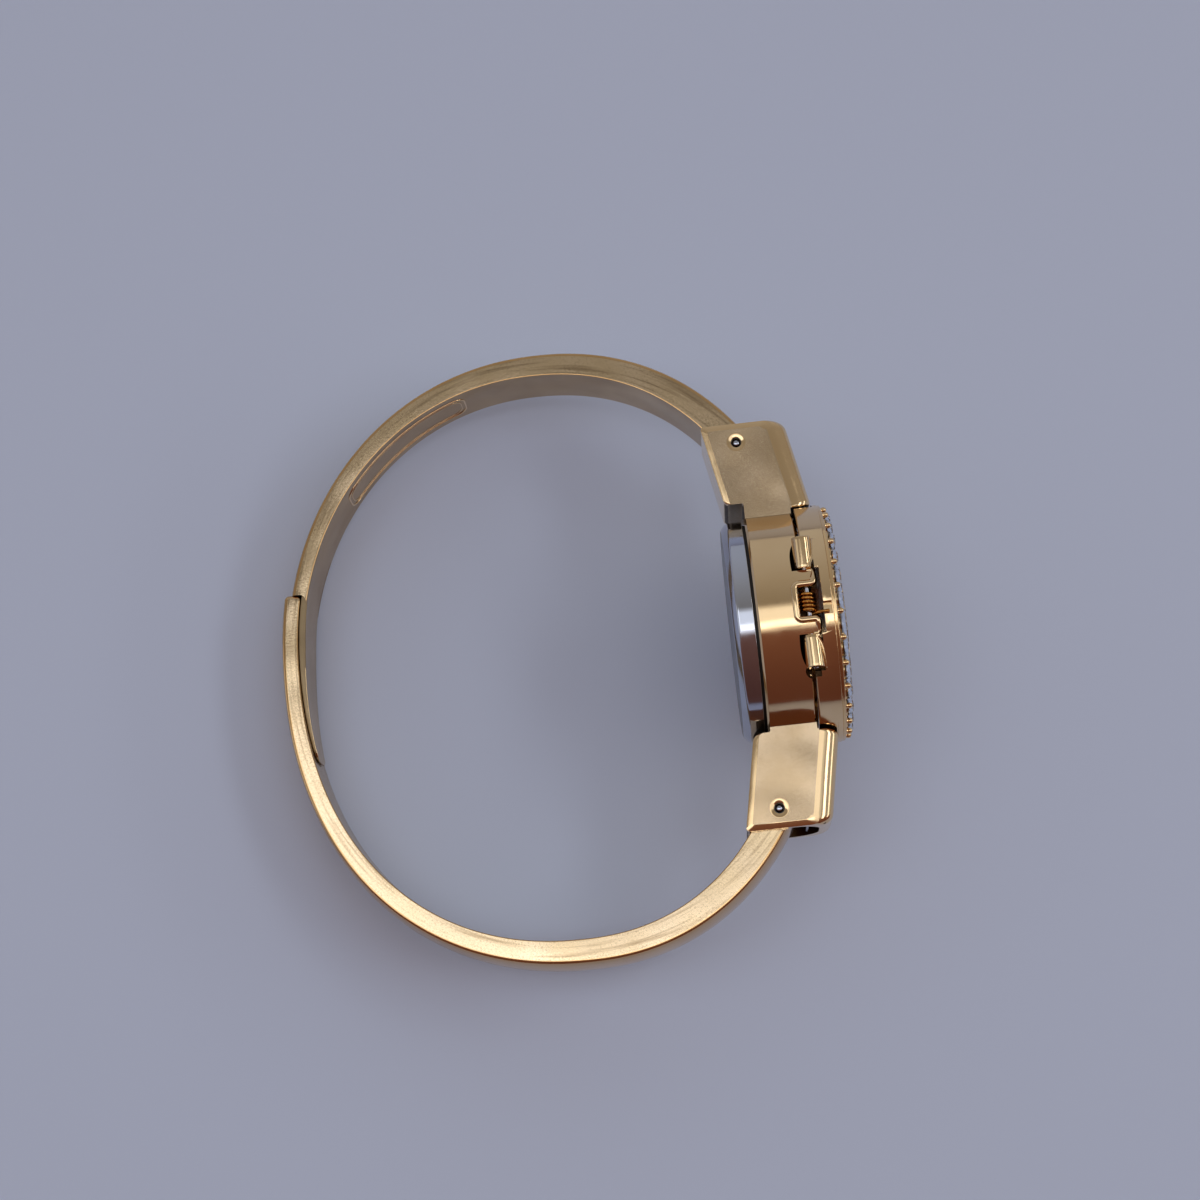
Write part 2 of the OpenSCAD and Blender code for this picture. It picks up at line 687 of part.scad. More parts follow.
// Room for an arm's inner face where it leaves its end piece past the wrist-side wall
module mouth(half) {
  reach = [for (a = [24 : 3 : 54]) [oval(a, oval_deep, half, oval_power), outward(a, oval_deep, half, oval_power)]];
  translate([0, 0, -cavity_half - relief]) linear_extrude(2 * (cavity_half + relief)) polygon(concat(
    [for (r = reach) if (r[0].y > pin_y - 1) r[0] - mouth_gap * r[1]],
    [for (k = [len(reach) - 1 : -1 : 0]) if (reach[k][0].y > pin_y - 1) reach[k][0] + mouth_room * reach[k][1]]));
}

// Outline of an end piece seen along the bangle's width
end_slope = tan(end_lean);
end_reach = end_depth / cos(end_lean);
end_along = [-sin(end_lean), cos(end_lean)];
module end_outline(near_r, near_in) {
  wrist_y = end_near - near_in;
  difference() {
    polygon([
      [end_step_x[0], case_r / 2], [end_step_x[0], wrist_y], [end_foot_x - 1, wrist_y],
      [end_foot_x - 3, end_far], [end_foot_x + end_reach + 1, end_far],
      [end_foot_x + end_reach + 1, end_near], [end_step_x[1], end_near], [end_step_x[1], case_r / 2]]);
    corner_cut([end_foot_x + end_reach - end_slope * (end_far - end_near), end_far],
      -end_along, [-1, 0], end_corner);
    corner_cut([end_foot_x + end_reach, end_near], end_along, [-1, 0], near_r);
    corner_cut([end_foot_x + end_slope * near_in, wrist_y], end_along, [1, 0], near_r);
  }
}

// What rounds a corner of an outline whose edges leave it along a and b
module corner_cut(corner, a, b, r) {
  bend = acos(a * b) / 2;
  reach = r / tan(bend);
  out_a = unit((a * b) * a - b);
  out_b = unit((a * b) * b - a);
  centre = corner + unit(a + b) * r / sin(bend);
  difference() {
    polygon([centre, corner + reach * a + out_a, corner + 2 * (out_a + out_b), corner + reach * b + out_b]);
    translate(centre) circle(r = r);
  }
}

module end_piece(half, near_r, near_in) {
  difference() {
    intersection() {
      lean(end_foot_x + end_reach) hood_section(end_depth, end_half_w, end_round);
      translate([0, 0, -end_half_w - cut]) linear_extrude(2 * (end_half_w + cut)) end_outline(near_r, near_in);
    }
    difference() {
      lean(end_foot_x + end_reach - end_wall / cos(end_lean))
        hood_section(end_depth - end_wall - end_back, cavity_half, end_inner_round);
      translate([end_step_x[1], end_near - 1, -end_half_w]) cube([end_depth, 1 + end_back, 2 * end_half_w]);
    }
    mouth(half);
    face() translate([0, 0, -cut]) cylinder(r = case_r + seat_gap, h = case_top + 0.05 + cut);
    face() translate([0, 0, case_top]) cylinder(r = case_r + 0.75 * end_gap, h = lid_h + setting_t + 2);
    translate([pin_x, pin_y, -end_half_w - cut]) cylinder(r = hole_r, h = 2 * (end_half_w + cut));
    for (s = [-1, 1]) translate([pin_x, pin_y, s * (end_half_w - sink_l)])
      mirror([0, 0, s < 0 ? 1 : 0]) cylinder(r1 = hole_r, r2 = sink_r, h = sink_l + 0.01);
  }
}

module upper_end_piece() {
  color(gold) end_piece(upper_half, 0.35, 0);
}

module lower_end_piece() {
  color(gold) mirror([0, 1, 0]) end_piece(lower_half, end_near_corner, end_near_rise);
}

// A pin of an arm, thinner where it sits in the plates, with domed ends
module arm_pin() {
  translate([pin_x, pin_y, 0]) union() {
    cylinder(r = arm_pin_r, h = 2 * (cavity_half - 0.02), center = true);
    cylinder(r = tip_r + run, h = 2 * (cavity_half + tip_l), center = true);
    for (s = [-1, 1]) translate([0, 0, s * (cavity_half + tip_l - 0.01)]) intersection() {
      translate([0, 0, -s * (dome_r - 0.15)]) sphere(r = dome_r);
      cylinder(r = tip_r, h = 1, center = true);
    }
  }
}

module upper_arm_pin() {
  color(steel) arm_pin();
}

module lower_arm_pin() {
  color(steel) mirror([0, 1, 0]) arm_pin();
}

// The flat spring that keeps an arm shut, from the dial-side wall to the arm's outer face
leaf_from = [end_foot_x + end_reach - end_wall / cos(end_lean) - end_slope * leaf_seat - leaf_t / 2 - 0.05,
             end_near + leaf_seat];
leaf_to = [pin_x + arm_t_head + arm_dome - arm_in + leaf_rise, end_far - 0.3];
module arm_spring() {
  translate([0, 0, -leaf_half]) linear_extrude(2 * leaf_half) polygon(concat(
    [for (k = [0 : 8]) leaf_point(k / 8) + [leaf_t / 2, 0]],
    [for (k = [8 : -1 : 0]) leaf_point(k / 8) - [leaf_t / 2, 0]]));
}
function leaf_point(u) = leaf_from + [(leaf_to.x - leaf_from.x) * (u * u * (3 - 2 * u)), (leaf_to.y - leaf_from.y) * u];

module upper_arm_spring() {
  color(steel) arm_spring();
}

module lower_arm_spring() {
  color(steel) mirror([0, 1, 0]) arm_spring();
}

// The bar of an arm along the oval, from beside its pin to its free end
module arm_bar(span, deep, half, power, rounded) {
  cap = rounded ? [15, 45, 75] : [];
  dir = span[1] > span[0] ? 1 : -1;
  rings = concat(
    [for (k = [0 : arm_rings])
      let (a = span[0] + (span[1] - span[0]) * k / arm_rings)
      section(oval(a, deep, half, power), outward(a, deep, half, power), arm_t(1 - k / arm_rings), arm_half)],
    [for (c = cap)
      let (a = span[1], n = outward(a, deep, half, power), t = arm_t_end,
           p = oval(a, deep, half, power) + n * t / 2 * (1 - cos(c)) + dir * [-n.y, n.x] * t / 2 * sin(c))
      section(p, n, t * cos(c), arm_half - 0.4 * (1 - cos(c)))]);
  n = len(rings[0]);
  points = [for (r = rings, p = r) p];
  faces = loft_faces(len(rings), n);
  polyhedron(points, dir > 0 ? turned(faces) : faces);
}

module arm_eye() {
  translate([pin_x, pin_y, -arm_half]) cylinder(r = eye_r, h = 2 * arm_half);
}

module arm_bore() {
  translate([pin_x, pin_y, -arm_half - cut]) cylinder(r = arm_pin_r + run, h = 2 * (arm_half + cut));
}

module upper_arm() {
  color(gold) difference() {
    union() {
      arm_bar(upper_span, upper_deep, upper_half, upper_power, false);
      arm_eye();
    }
    arm_bore();
    translate([0, 0, -tongue_half_w - 0.02]) linear_extrude(2 * tongue_half_w + 0.04)
      tongue_outline(-1, tongue_t + 0.02);
  }
}

module lower_arm() {
  color(gold) difference() {
    union() {
      arm_bar(lower_span, oval_deep, lower_half, oval_power, true);
      mirror([0, 1, 0]) arm_eye();
    }
    mirror([0, 1, 0]) arm_bore();
  }
}

// The tongue follows the upper arm's inner face, then the lower arm's
tongue_steps = 16;
function tongue_y(u) = shoulder_y + tongue_seat - (shoulder_y + tongue_seat + tongue_end_y) * u;
function upper_in(y) = -oval_back - upper_deep * pow(1 - pow(abs(y) / upper_half, upper_power), 1 / upper_power);
function lower_in(y) = -oval_back - oval_deep * pow(1 - pow(abs(y) / lower_half, oval_power), 1 / oval_power);
function tongue_x(y) = max(lower_in(y) + tongue_gap, upper_in(y) - tongue_t);
module tongue_outline(inner, outer) {
  polygon(concat(
    [for (k = [0 : tongue_steps]) let (y = tongue_y(k / tongue_steps)) [tongue_x(y) + tongue_t - outer, y]],
    [for (k = [tongue_steps : -1 : 0]) let (y = tongue_y(k / tongue_steps)) [tongue_x(y) + tongue_t - inner, y]]));
}

module clasp_tongue() {
  color(gold) translate([0, 0, -tongue_half_w]) linear_extrude(2 * tongue_half_w)
    tongue_outline(0, tongue_t);
}

case_body();
case_back();
back_gasket();
crystal();
crystal_gasket();
dial();
hour_markers();
hour_hand();
minute_hand();
movement();
movement_holder();
battery();
battery_strap();
strap_screws();
crown_tube();
winding_stem();
crown();
release_button();
lid_frame();
lid_catch();
lid_hinge_pin();
lid_spring();
stone_setting();
outer_stones();
inner_stones();
upper_end_piece();
lower_end_piece();
upper_arm_pin();
lower_arm_pin();
upper_arm_spring();
lower_arm_spring();
upper_arm();
lower_arm();
clasp_tongue();
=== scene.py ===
from math import asin, copysign, cos, hypot, pi, radians, sin, sqrt, tan

import bmesh
import bpy
from mathutils import Matrix, Vector


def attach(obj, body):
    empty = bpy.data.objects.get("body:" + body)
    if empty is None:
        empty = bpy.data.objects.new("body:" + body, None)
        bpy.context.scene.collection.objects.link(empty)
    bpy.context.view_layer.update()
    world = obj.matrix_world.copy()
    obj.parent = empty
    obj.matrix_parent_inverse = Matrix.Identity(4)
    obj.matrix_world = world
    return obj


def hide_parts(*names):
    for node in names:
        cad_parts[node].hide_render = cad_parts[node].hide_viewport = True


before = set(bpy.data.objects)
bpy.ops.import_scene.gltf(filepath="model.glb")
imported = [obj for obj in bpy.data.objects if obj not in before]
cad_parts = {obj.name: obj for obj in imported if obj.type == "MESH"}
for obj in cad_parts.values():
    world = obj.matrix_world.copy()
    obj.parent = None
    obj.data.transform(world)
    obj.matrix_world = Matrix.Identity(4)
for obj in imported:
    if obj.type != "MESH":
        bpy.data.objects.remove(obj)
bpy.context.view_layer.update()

mm = 0.001
scene = bpy.context.scene
scene.view_settings.view_transform = "Standard"


def hexColour(text):
    parts = [int(text[k:k + 2], 16) / 255 for k in (1, 3, 5)]
    return tuple(c / 12.92 if c <= 0.04045 else ((c + 0.055) / 1.055) ** 2.4 for c in parts) + (1.0,)


def addObject(name, data):
    made = bpy.data.objects.new(name, data)
    scene.collection.objects.link(made)
    return made


# The photo's camera: its place, lens and sensor in millimetres, its nearest sight in metres
cameraSpot = {"place": (-5.107, -54.332, 257.446), "right": (0.99333, -0.10114, -0.05535),
              "back": (0.03133, -0.22525, 0.97379), "lens": 75.0, "sensor": 36.0, "nearest": 0.01}


def makeCamera(spot):
    back = Vector(spot["back"]).normalized()
    right = Vector(spot["right"])
    right = (right - back * right.dot(back)).normalized()
    up = back.cross(right)
    data = bpy.data.cameras.new("camera")
    data.lens = spot["lens"]
    data.sensor_width = spot["sensor"]
    data.clip_start = spot["nearest"]
    turn = Matrix((right, up, back)).transposed().to_4x4()
    scene.camera = addObject("camera", data)
    scene.camera.matrix_world = Matrix.Translation(Vector(spot["place"]) * mm) @ turn


makeCamera(cameraSpot)
print("stage: camera")


def addNode(tree, kind, inputs=None, **settings):
    made = tree.nodes.new("ShaderNode" + kind)
    for key, value in settings.items():
        setattr(made, key, value)
    for key, value in (inputs or {}).items():
        if isinstance(value, bpy.types.NodeSocket):
            tree.links.new(value, made.inputs[key])
        else:
            made.inputs[key].default_value = value
    return made


def spread(tree, value, low, high, start=0.3, stop=0.7):
    # carries a value between start and stop over to one between low and high
    return addNode(tree, "MapRange", {"Value": value, "From Min": start, "From Max": stop, "To Min": low,
                                      "To Max": high}).outputs[0]


# The room: dim and warm towards 6 o'clock, cooler and lighter towards 12, so that polished metal has contrast
roomStops = ((0.0, "#5a3931"), (0.36, "#755044"), (0.47, "#a3a3a6"), (0.55, "#a2a5ab"), (0.62, "#8a857f"),
             (0.8, "#9d9a98"), (1.0, "#aeafb4"))


def makeRoom(stops):
    world = bpy.data.worlds.new("room")
    scene.world = world
    world.use_nodes = True
    tree = world.node_tree
    tree.nodes.clear()
    axes = addNode(tree, "SeparateXYZ", {0: addNode(tree, "TexCoord").outputs["Generated"]})
    ramp = addNode(tree, "ValToRGB", {0: spread(tree, axes.outputs["Y"], 0.0, 1.0, -1.0, 1.0)})
    while len(ramp.color_ramp.elements) < len(stops):
        ramp.color_ramp.elements.new(0.5)
    for element, (spot, colour) in zip(ramp.color_ramp.elements, stops):
        element.position = spot
        element.color = hexColour(colour)
    light = addNode(tree, "Background", {"Color": ramp.outputs[0], "Strength": 1.0})
    addNode(tree, "OutputWorld", {"Surface": light.outputs[0]})


makeRoom(roomStops)

# Lamps are given by the brightness of their face, so that polished metal shows them at that level
# Those without an aim shine straight down
lamps = {
    "lampOverhead": {"place": (135, -17, 600), "size": (430, 230), "level": 0.5, "colour": "#f8faff"},
    "lampOverheadLeft": {"place": (-215, 5, 600), "size": (270, 270), "level": 1.08, "colour": "#f8faff"},
    "lampCore": {"place": (30, -70, 560), "size": (240, 60), "level": 1.3, "colour": "#ffffff"},
    "lampAround": {"place": (0, -14, 640), "size": (1000, 300), "level": 0.3, "colour": "#fdfbf8"},
    "lampRight": {"place": (520, 20, 420), "size": (460, 130), "level": 2.3, "colour": "#ffffff",
                  "aim": (-10, 20, 0)},
    "lampRightLow": {"place": (600, 20, 120), "size": (460, 90), "level": 1.5, "colour": "#ffffff",
                     "aim": (-10, 20, 0)},
    "lampLeft": {"place": (-560, 60, 330), "size": (240, 300), "level": 0.4, "colour": "#f4f8ff",
                 "aim": (-10, 0, 0)}}


def makeLamp(name, lamp):
    data = bpy.data.lights.new(name, "AREA")
    data.shape = "RECTANGLE"
    data.size = lamp["size"][0] * mm
    data.size_y = lamp["size"][1] * mm
    data.energy = lamp["level"] * pi * data.size * data.size_y
    data.color = hexColour(lamp["colour"])[:3]
    made = addObject(name, data)
    made.location = Vector(lamp["place"]) * mm
    aim = Vector(lamp.get("aim", (*lamp["place"][:2], 0))) * mm - made.location
    made.rotation_euler = aim.to_track_quat("-Z", "Y").to_euler()


for lampName, lamp in lamps.items():
    makeLamp(lampName, lamp)


def newLook(name, colour, metal, rough):
    look = bpy.data.materials.new(name)
    look.use_nodes = True
    shader = look.node_tree.nodes["Principled BSDF"]
    shader.inputs["Base Color"].default_value = hexColour(colour)
    shader.inputs["Metallic"].default_value = metal
    shader.inputs["Roughness"].default_value = rough
    return look, look.node_tree, shader


# The floor leans with the photo's table and lies just under the crown and the arms' far edges
floorSet = {"at": (3.0, 0.0, -14.32), "lean": (0.2054, 0.0, 0.9787), "half": 3000.0, "colour": "#d0dcf6",
            "rough": 0.7}


def makeFloor(settings):
    up = Vector(settings["lean"]).normalized()
    side = Vector((0, 1, 0))
    along = side.cross(up).normalized()
    at = Vector(settings["at"])
    half = settings["half"]
    corners = [(at + along * half * a + side * half * b) * mm for a, b in ((-1, -1), (1, -1), (1, 1), (-1, 1))]
    mesh = bpy.data.meshes.new("floor")
    mesh.from_pydata(corners, [], [(0, 1, 2, 3)])
    # matt paint in place of the photo's marble
    mesh.materials.append(newLook("floorPaint", settings["colour"], 0.0, settings["rough"])[0])
    addObject("floor", mesh)


makeFloor(floorSet)
print("stage: light and floor")


def noise(tree, spot, size, detail):
    # a noise whose cells are size millimetres wide
    return addNode(tree, "TexNoise", {"Vector": spot, "Scale": 1 / (size * mm), "Detail": detail}).outputs["Fac"]


def grain(tree, size, stretch=(1, 1, 1), detail=4.0, turn=(0, 0, 0)):
    # the same noise over the piece, drawn out along an axis by stretch
    place = addNode(tree, "TexCoord")
    mapped = addNode(tree, "Mapping", {"Vector": place.outputs["Object"], "Scale": stretch, "Rotation": turn})
    return noise(tree, mapped.outputs[0], size, detail)


def reckon(tree, how, one, two=0.0):
    return addNode(tree, "Math", {0: one, 1: two}, operation=how).outputs[0]


def blend(tree, share, one, two):
    # mixes two colours, of which the first may come from another node
    return addNode(tree, "MixRGB", {"Fac": share, "Color1": hexColour(one) if isinstance(one, str) else one,
                                    "Color2": hexColour(two)}).outputs[0]


def bump(tree, shader, height, depth, under=None):
    inputs = {"Height": height, "Distance": depth * mm}
    if under:
        inputs["Normal"] = under
    made = addNode(tree, "Bump", inputs)
    tree.links.new(made.outputs[0], shader.inputs["Normal"])
    return made.outputs[0]


# Worn spots and lines, their widths in millimetres; the lines run along the middle of the two arms' ovals
wear = {"colour": "#7d6342", "drift": 6.0, "wave": 8.0, "spot": 0.22, "spotRange": (0.54, 0.64), "cloud": 3.5,
        "line": 0.35, "lineRange": (0.5, 0.72), "lineLong": 0.04, "back": 18.4, "deep": 26.85, "half": 30.0,
        "power": 2.1}


def alongArms(tree):
    # a vector that grows from the arms' inner to their outer side in X and runs along their oval in Y
    w = wear
    axes = addNode(tree, "SeparateXYZ", {0: addNode(tree, "TexCoord").outputs["Object"]})
    shifted = reckon(tree, "ADD", axes.outputs["X"], w["back"] * mm)
    shares = []
    for value, reach in ((shifted, w["deep"]), (axes.outputs["Y"], w["half"])):
        plain = reckon(tree, "ABSOLUTE", reckon(tree, "DIVIDE", value, reach * mm))
        shares.append(reckon(tree, "POWER", plain, w["power"]))
    across = reckon(tree, "POWER", reckon(tree, "ADD", *shares), 1 / w["power"])
    wide = reckon(tree, "MULTIPLY", across, w["deep"] * mm)
    # measured from the wrist's back, so that the angle's jump lies in the head, where no arm is
    angle = reckon(tree, "ARCTAN2", axes.outputs["Y"], reckon(tree, "MULTIPLY", shifted, -1.0))
    long = reckon(tree, "MULTIPLY", angle, w["lineLong"] * w["deep"] * mm)
    return addNode(tree, "CombineXYZ", {0: wide, 1: long, 2: axes.outputs["Z"]}).outputs[0]


def metalLook(name, colour, darker, rough, grainSize, stretch=(1, 1, 1), depth=0.0, turn=(0, 0, 0), wave=0.0,
              specks=0.0, streaks=0.0):
    # a plated or bare metal whose gloss and tone drift a little, and whose finish is a fine grain
    # wave is the height in mm of the slow unevenness that hand polishing leaves
    # specks and streaks are the strengths of the wear spots and of the worn lines along the arms
    look, tree, shader = newLook(name, colour, 1.0, rough[0])
    fine = grain(tree, grainSize, stretch, 3.0, turn)
    tone = blend(tree, spread(tree, grain(tree, wear["drift"], detail=3.0), 0.0, 1.0), colour, darker)
    if specks:
        # the spots gather in clouds
        spots = spread(tree, grain(tree, wear["spot"], detail=2.0), 0.0, specks, *wear["spotRange"])
        cloud = spread(tree, grain(tree, wear["cloud"]), 0.1, 1.0)
        tone = blend(tree, reckon(tree, "MULTIPLY", spots, cloud), tone, wear["colour"])
    if streaks:
        line = noise(tree, alongArms(tree), wear["line"], 3.0)
        tone = blend(tree, spread(tree, line, 0.0, streaks, *wear["lineRange"]), tone, wear["colour"])
    tree.links.new(tone, shader.inputs["Base Color"])
    tree.links.new(spread(tree, fine, *rough), shader.inputs["Roughness"])
    under = bump(tree, shader, grain(tree, wear["wave"], detail=1.0), wave) if wave else None
    if depth:
        bump(tree, shader, fine, depth, under)
    return look


def plainLook(name, colour, other, rough, grainSize, depth=0.0):
    # an opaque plastic, rubber or lacquer whose tone and gloss follow a fine grain
    look, tree, shader = newLook(name, colour, 0.0, rough[0])
    fine = grain(tree, grainSize)
    tree.links.new(blend(tree, spread(tree, fine, 0.0, 1.0), colour, other), shader.inputs["Base Color"])
    tree.links.new(spread(tree, fine, *rough), shader.inputs["Roughness"])
    if depth:
        bump(tree, shader, fine, depth)
    return look


def clearLook(name, colour, ior, rough):
    # a clear body, whose gloss drifts a little where it was polished
    look, tree, shader = newLook(name, colour, 0.0, rough[0])
    shader.inputs["IOR"].default_value = ior
    shader.inputs["Transmission Weight"].default_value = 1.0
    tree.links.new(spread(tree, grain(tree, 2.0), *rough), shader.inputs["Roughness"])
    return look


looks = {
    # mirror polished gold plating, whose faint haze shows only as a drift of gloss
    "goldPolished": metalLook("goldPlatingPolished", "#f1d3a6", "#ebcb9c", (0.08, 0.14), 1.5, wave=0.1),
    # the end pieces' plates, brushed with a fine belt that leaves slanting hair lines
    "goldBrushed": metalLook("goldPlatingBeltBrushed", "#e0c9aa", "#d3b994", (0.14, 0.28), 0.16, (1, 14, 1),
                             depth=0.004, turn=(0, 0, 0.7), wave=0.4, specks=0.15),
    # the arms' flat edges, tumbled so that they sparkle with tiny pits
    "goldSatin": metalLook("goldPlatingTumbled", "#ecd4b1", "#e0c79e", (0.13, 0.27), 0.18, depth=0.006,
                           wave=0.22, specks=0.35, streaks=0.6),
    # the arms' outer faces, polished after the edges, with a darker, redder colour as a painted reflection of the
    # shaded floor
    "goldArmOutsidePaintedReflection": metalLook("goldPlatingArmPaintedReflection", "#dbb685", "#cfa772", (0.09, 0.16), 1.5, wave=0.1),
    # the arms' inner faces, buffed less than the outer ones, with a darker colour as painted shade
    "goldArmInsidePaintedShade": metalLook("goldPlatingLessBuffedPaintedShade", "#c9ab7e", "#a98c62", (0.12, 0.26), 0.5, (1, 1, 6), depth=0.004,
                           wave=0.3),
    # painted shade for pockets, hollows and walls in the shade of other parts: near-black brown, rough plating
    "goldPaintedDarkShade": metalLook("goldPlatingRoughPaintedDarkShade", "#4c3a28", "#3b2c1e", (0.35, 0.55), 0.3),
    # painted shade, grey-brown and dull, on the blade's long edges and the end pieces' near walls
    "goldPaintedGreyShade": metalLook("goldPlatingPaintedGreyShade", "#9d8a6c", "#86745a", (0.3, 0.45), 0.25, (1, 4, 1), depth=0.002),
    # the stones' setting, cut bright by hand
    "goldSetting": metalLook("goldBrightCut", "#f0d0a0", "#e8c490", (0.08, 0.2), 0.3, depth=0.004),
    # stainless steel, mirror polished
    "steelPolished": metalLook("steelPolished", "#c6cad6", "#bcc1ce", (0.07, 0.14), 1.2),
    # the back's flat face, brushed in rings, with its colour painted darker than the polished edge as painted
    # shade
    "steelRingBrushedPaintedShade": metalLook("steelFaceRingBrushedPaintedShade", "#8d919b", "#80848e", (0.25, 0.38), 0.15, depth=0.002),
    # leaf springs and the battery's can, rolled from strip
    "steelRolled": metalLook("steelRolledStrip", "#9ea4ad", "#8f959e", (0.25, 0.4), 0.2, (1, 12, 1), depth=0.003),
    # drawn bronze wire, with lines along the drawing direction
    "bronzeWire": metalLook("bronzeDrawnWire", "#d69a4e", "#b97d38", (0.16, 0.3), 0.12, (1, 4, 1), depth=0.003),
    # the movement's plates, blasted with glass beads
    "brassPlate": metalLook("brassPlateBlasted", "#cfc08f", "#c2b282", (0.35, 0.5), 0.1, depth=0.004),
    # moulded seals and the movement's moulded holder; the black rubber look is also painted on the steel back's
    # neck as painted shade
    "blackRubberAndPaintedShade": plainLook("blackRubberMouldedAndPaintedShade", "#1b1b1c", "#242425", (0.5, 0.65), 0.3, 0.004),
    "sealPlastic": plainLook("sealPlasticMoulded", "#2a2a2c", "#323235", (0.35, 0.5), 0.3, 0.003),
    "holderPlastic": plainLook("holderPlasticMoulded", "#e6e1d2", "#dcd6c5", (0.35, 0.5), 0.4, 0.003),
    # the dial, sprayed with pearl lacquer
    "dialEnamel": plainLook("dialLacquerPearl", "#f2eee4", "#e9e3d6", (0.22, 0.3), 0.5),
    # polished mineral glass, cut glass stones and the silver foil on the stones' backs
    "crystalGlass": clearLook("crystalGlassPolished", "#ffffff", 1.45, (0.0, 0.02)),
    "stoneGlass": clearLook("stoneGlassCut", "#f7fbff", 1.62, (0.0, 0.015)),
    "stoneFoil": metalLook("stoneFoilSilver", "#e9eef6", "#dbe2ec", (0.06, 0.16), 0.3)}
print("stage: materials", len(looks))


# Shapes below are drawn in millimetres
def fillet(corners, steps=5):
    # a closed outline from (a, b, radius) corners, each rounded by an arc
    made = []
    count = len(corners)
    for k, (a, b, radius) in enumerate(corners):
        here = Vector((a, b))
        before = Vector(corners[k - 1][:2]) - here
        after = Vector(corners[(k + 1) % count][:2]) - here
        if radius <= 0:
            made.append(here)
            continue
        one, two = before.normalized(), after.normalized()
        half = one.angle(two) / 2
        reach = min(radius / tan(half), before.length * 0.49, after.length * 0.49)
        radius = reach * tan(half)
        centre = here + (one + two).normalized() * (radius / sin(half))
        start, stop = here + one * reach - centre, here + two * reach - centre
        sweep = start.angle_signed(stop)
        for s in range(steps + 1):
            turn = Matrix.Rotation(-sweep * s / steps, 2)
            made.append(centre + turn @ start)
    return [(p.x, p.y) for p in made]


def loft(rings, closed=False):
    # skins a list of rings of points; closed says that the last ring joins the first
    bm = bmesh.new()
    rows = [[bm.verts.new(p) for p in ring] for ring in rings]
    count = len(rings[0])
    for r in range(len(rows) if closed else len(rows) - 1):
        one, two = rows[r], rows[(r + 1) % len(rows)]
        for k in range(count):
            n = (k + 1) % count
            bm.faces.new((one[k], one[n], two[n], two[k]))
    if not closed:
        bm.faces.new(list(reversed(rows[0])))
        bm.faces.new(rows[-1])
    bmesh.ops.recalc_face_normals(bm, faces=bm.faces)
    return bm


def turns(count, shift=0.0):
    # count equal steps of a full turn, moved on by shift steps
    return [2 * pi * (k + shift) / count for k in range(count)]


def revolve(outline, steps=192):
    # outline of (radius, x) turned all round the head's axis, closed where it touches the axis
    bm = loft([[(x, r * sin(a), r * cos(a)) for r, x in outline] for a in turns(steps)], closed=True)
    bmesh.ops.remove_doubles(bm, verts=bm.verts, dist=0.0005)
    bmesh.ops.dissolve_degenerate(bm, edges=bm.edges, dist=0.0005)
    bmesh.ops.recalc_face_normals(bm, faces=bm.faces)
    return bm


def prism(outline, low, high, place=lambda a, b, c: (a, b, c)):
    # an outline of (a, b) drawn out from low to high, set by place(a, b, c)
    return loft([[place(a, b, c) for a, b in outline] for c in (low, high)])


def boxMesh(low, high):
    (x0, y0, z0), (x1, y1, z1) = low, high
    return prism([(x0, y0), (x1, y0), (x1, y1), (x0, y1)], z0, z1)


def circle(at, radius, count, shift=0.0, spin=0.0):
    # spots (a, b) on a circle round at
    return [(at[0] + radius * cos(t + spin), at[1] + radius * sin(t + spin)) for t in turns(count, shift)]


def barrel(at, radius, y0, y1, edge=0.0, sides=64):
    # a round bar along Y at (x, z), with eased ends where it has an edge
    rise = ((0, edge), (edge * 0.3, edge * 0.3), (edge, 0)) if edge else ((0, 0),)
    stops = [(y0 + a, radius - b) for a, b in rise] + [(y1 - a, radius - b) for a, b in reversed(rise)]
    return loft([[(x, y, z) for x, z in circle(at, r, sides)] for y, r in stops])


def mirrored(bm):
    # turned over from the 12 o'clock to the 6 o'clock side
    bmesh.ops.scale(bm, vec=(1, -1, 1), verts=bm.verts)
    bmesh.ops.reverse_faces(bm, faces=bm.faces)
    return bm


def both(half):
    # half an outline and its mirror image across b = 0
    return list(half) + [(a, -b, *rest) for a, b, *rest in reversed(half)]


def refine(spots, step):
    # a path of (a, b) with spots added where they lie more than a step apart, without its last one
    fine = []
    for (a0, b0), (a1, b1) in zip(spots, spots[1:]):
        count = max(1, int(hypot(a1 - a0, b1 - b0) / step))
        fine += [(a0 + (a1 - a0) * k / count, b0 + (b1 - b0) * k / count) for k in range(count)]
    return fine


def meshObject(name, bm):
    mesh = bpy.data.meshes.new(name)
    bm.to_mesh(mesh)
    bm.free()
    return addObject(name, mesh)


def combine(base, tools, how):
    # joins, cuts or intersects a mesh with others
    body = meshObject("body", base)
    helpers = [meshObject("tool", tool) for tool in tools]
    for helper in helpers:
        modifier = body.modifiers.new("join", "BOOLEAN")
        modifier.operation = how
        modifier.solver = "EXACT"
        modifier.object = helper
    solved = body.evaluated_get(bpy.context.evaluated_depsgraph_get())
    bm = bmesh.new()
    bm.from_mesh(solved.to_mesh())
    solved.to_mesh_clear()
    for made in [body] + helpers:
        mesh = made.data
        bpy.data.objects.remove(made)
        bpy.data.meshes.remove(mesh)
    bmesh.ops.remove_doubles(bm, verts=bm.verts, dist=0.0004)
    bmesh.ops.dissolve_degenerate(bm, edges=bm.edges, dist=0.0004)
    return bm


def ease(bm, width, angle, keep=lambda edge: True):
    # bevels the edges that turn by more than an angle and that keep lets through
    edges = [e for e in bm.edges if len(e.link_faces) == 2 and e.calc_face_angle(0) > radians(angle)
             and keep(e)]
    bmesh.ops.bevel(bm, geom=edges, offset=width, offset_type="OFFSET", segments=2, profile=0.5,
                    affect="EDGES", clamp_overlap=True, material=-1)


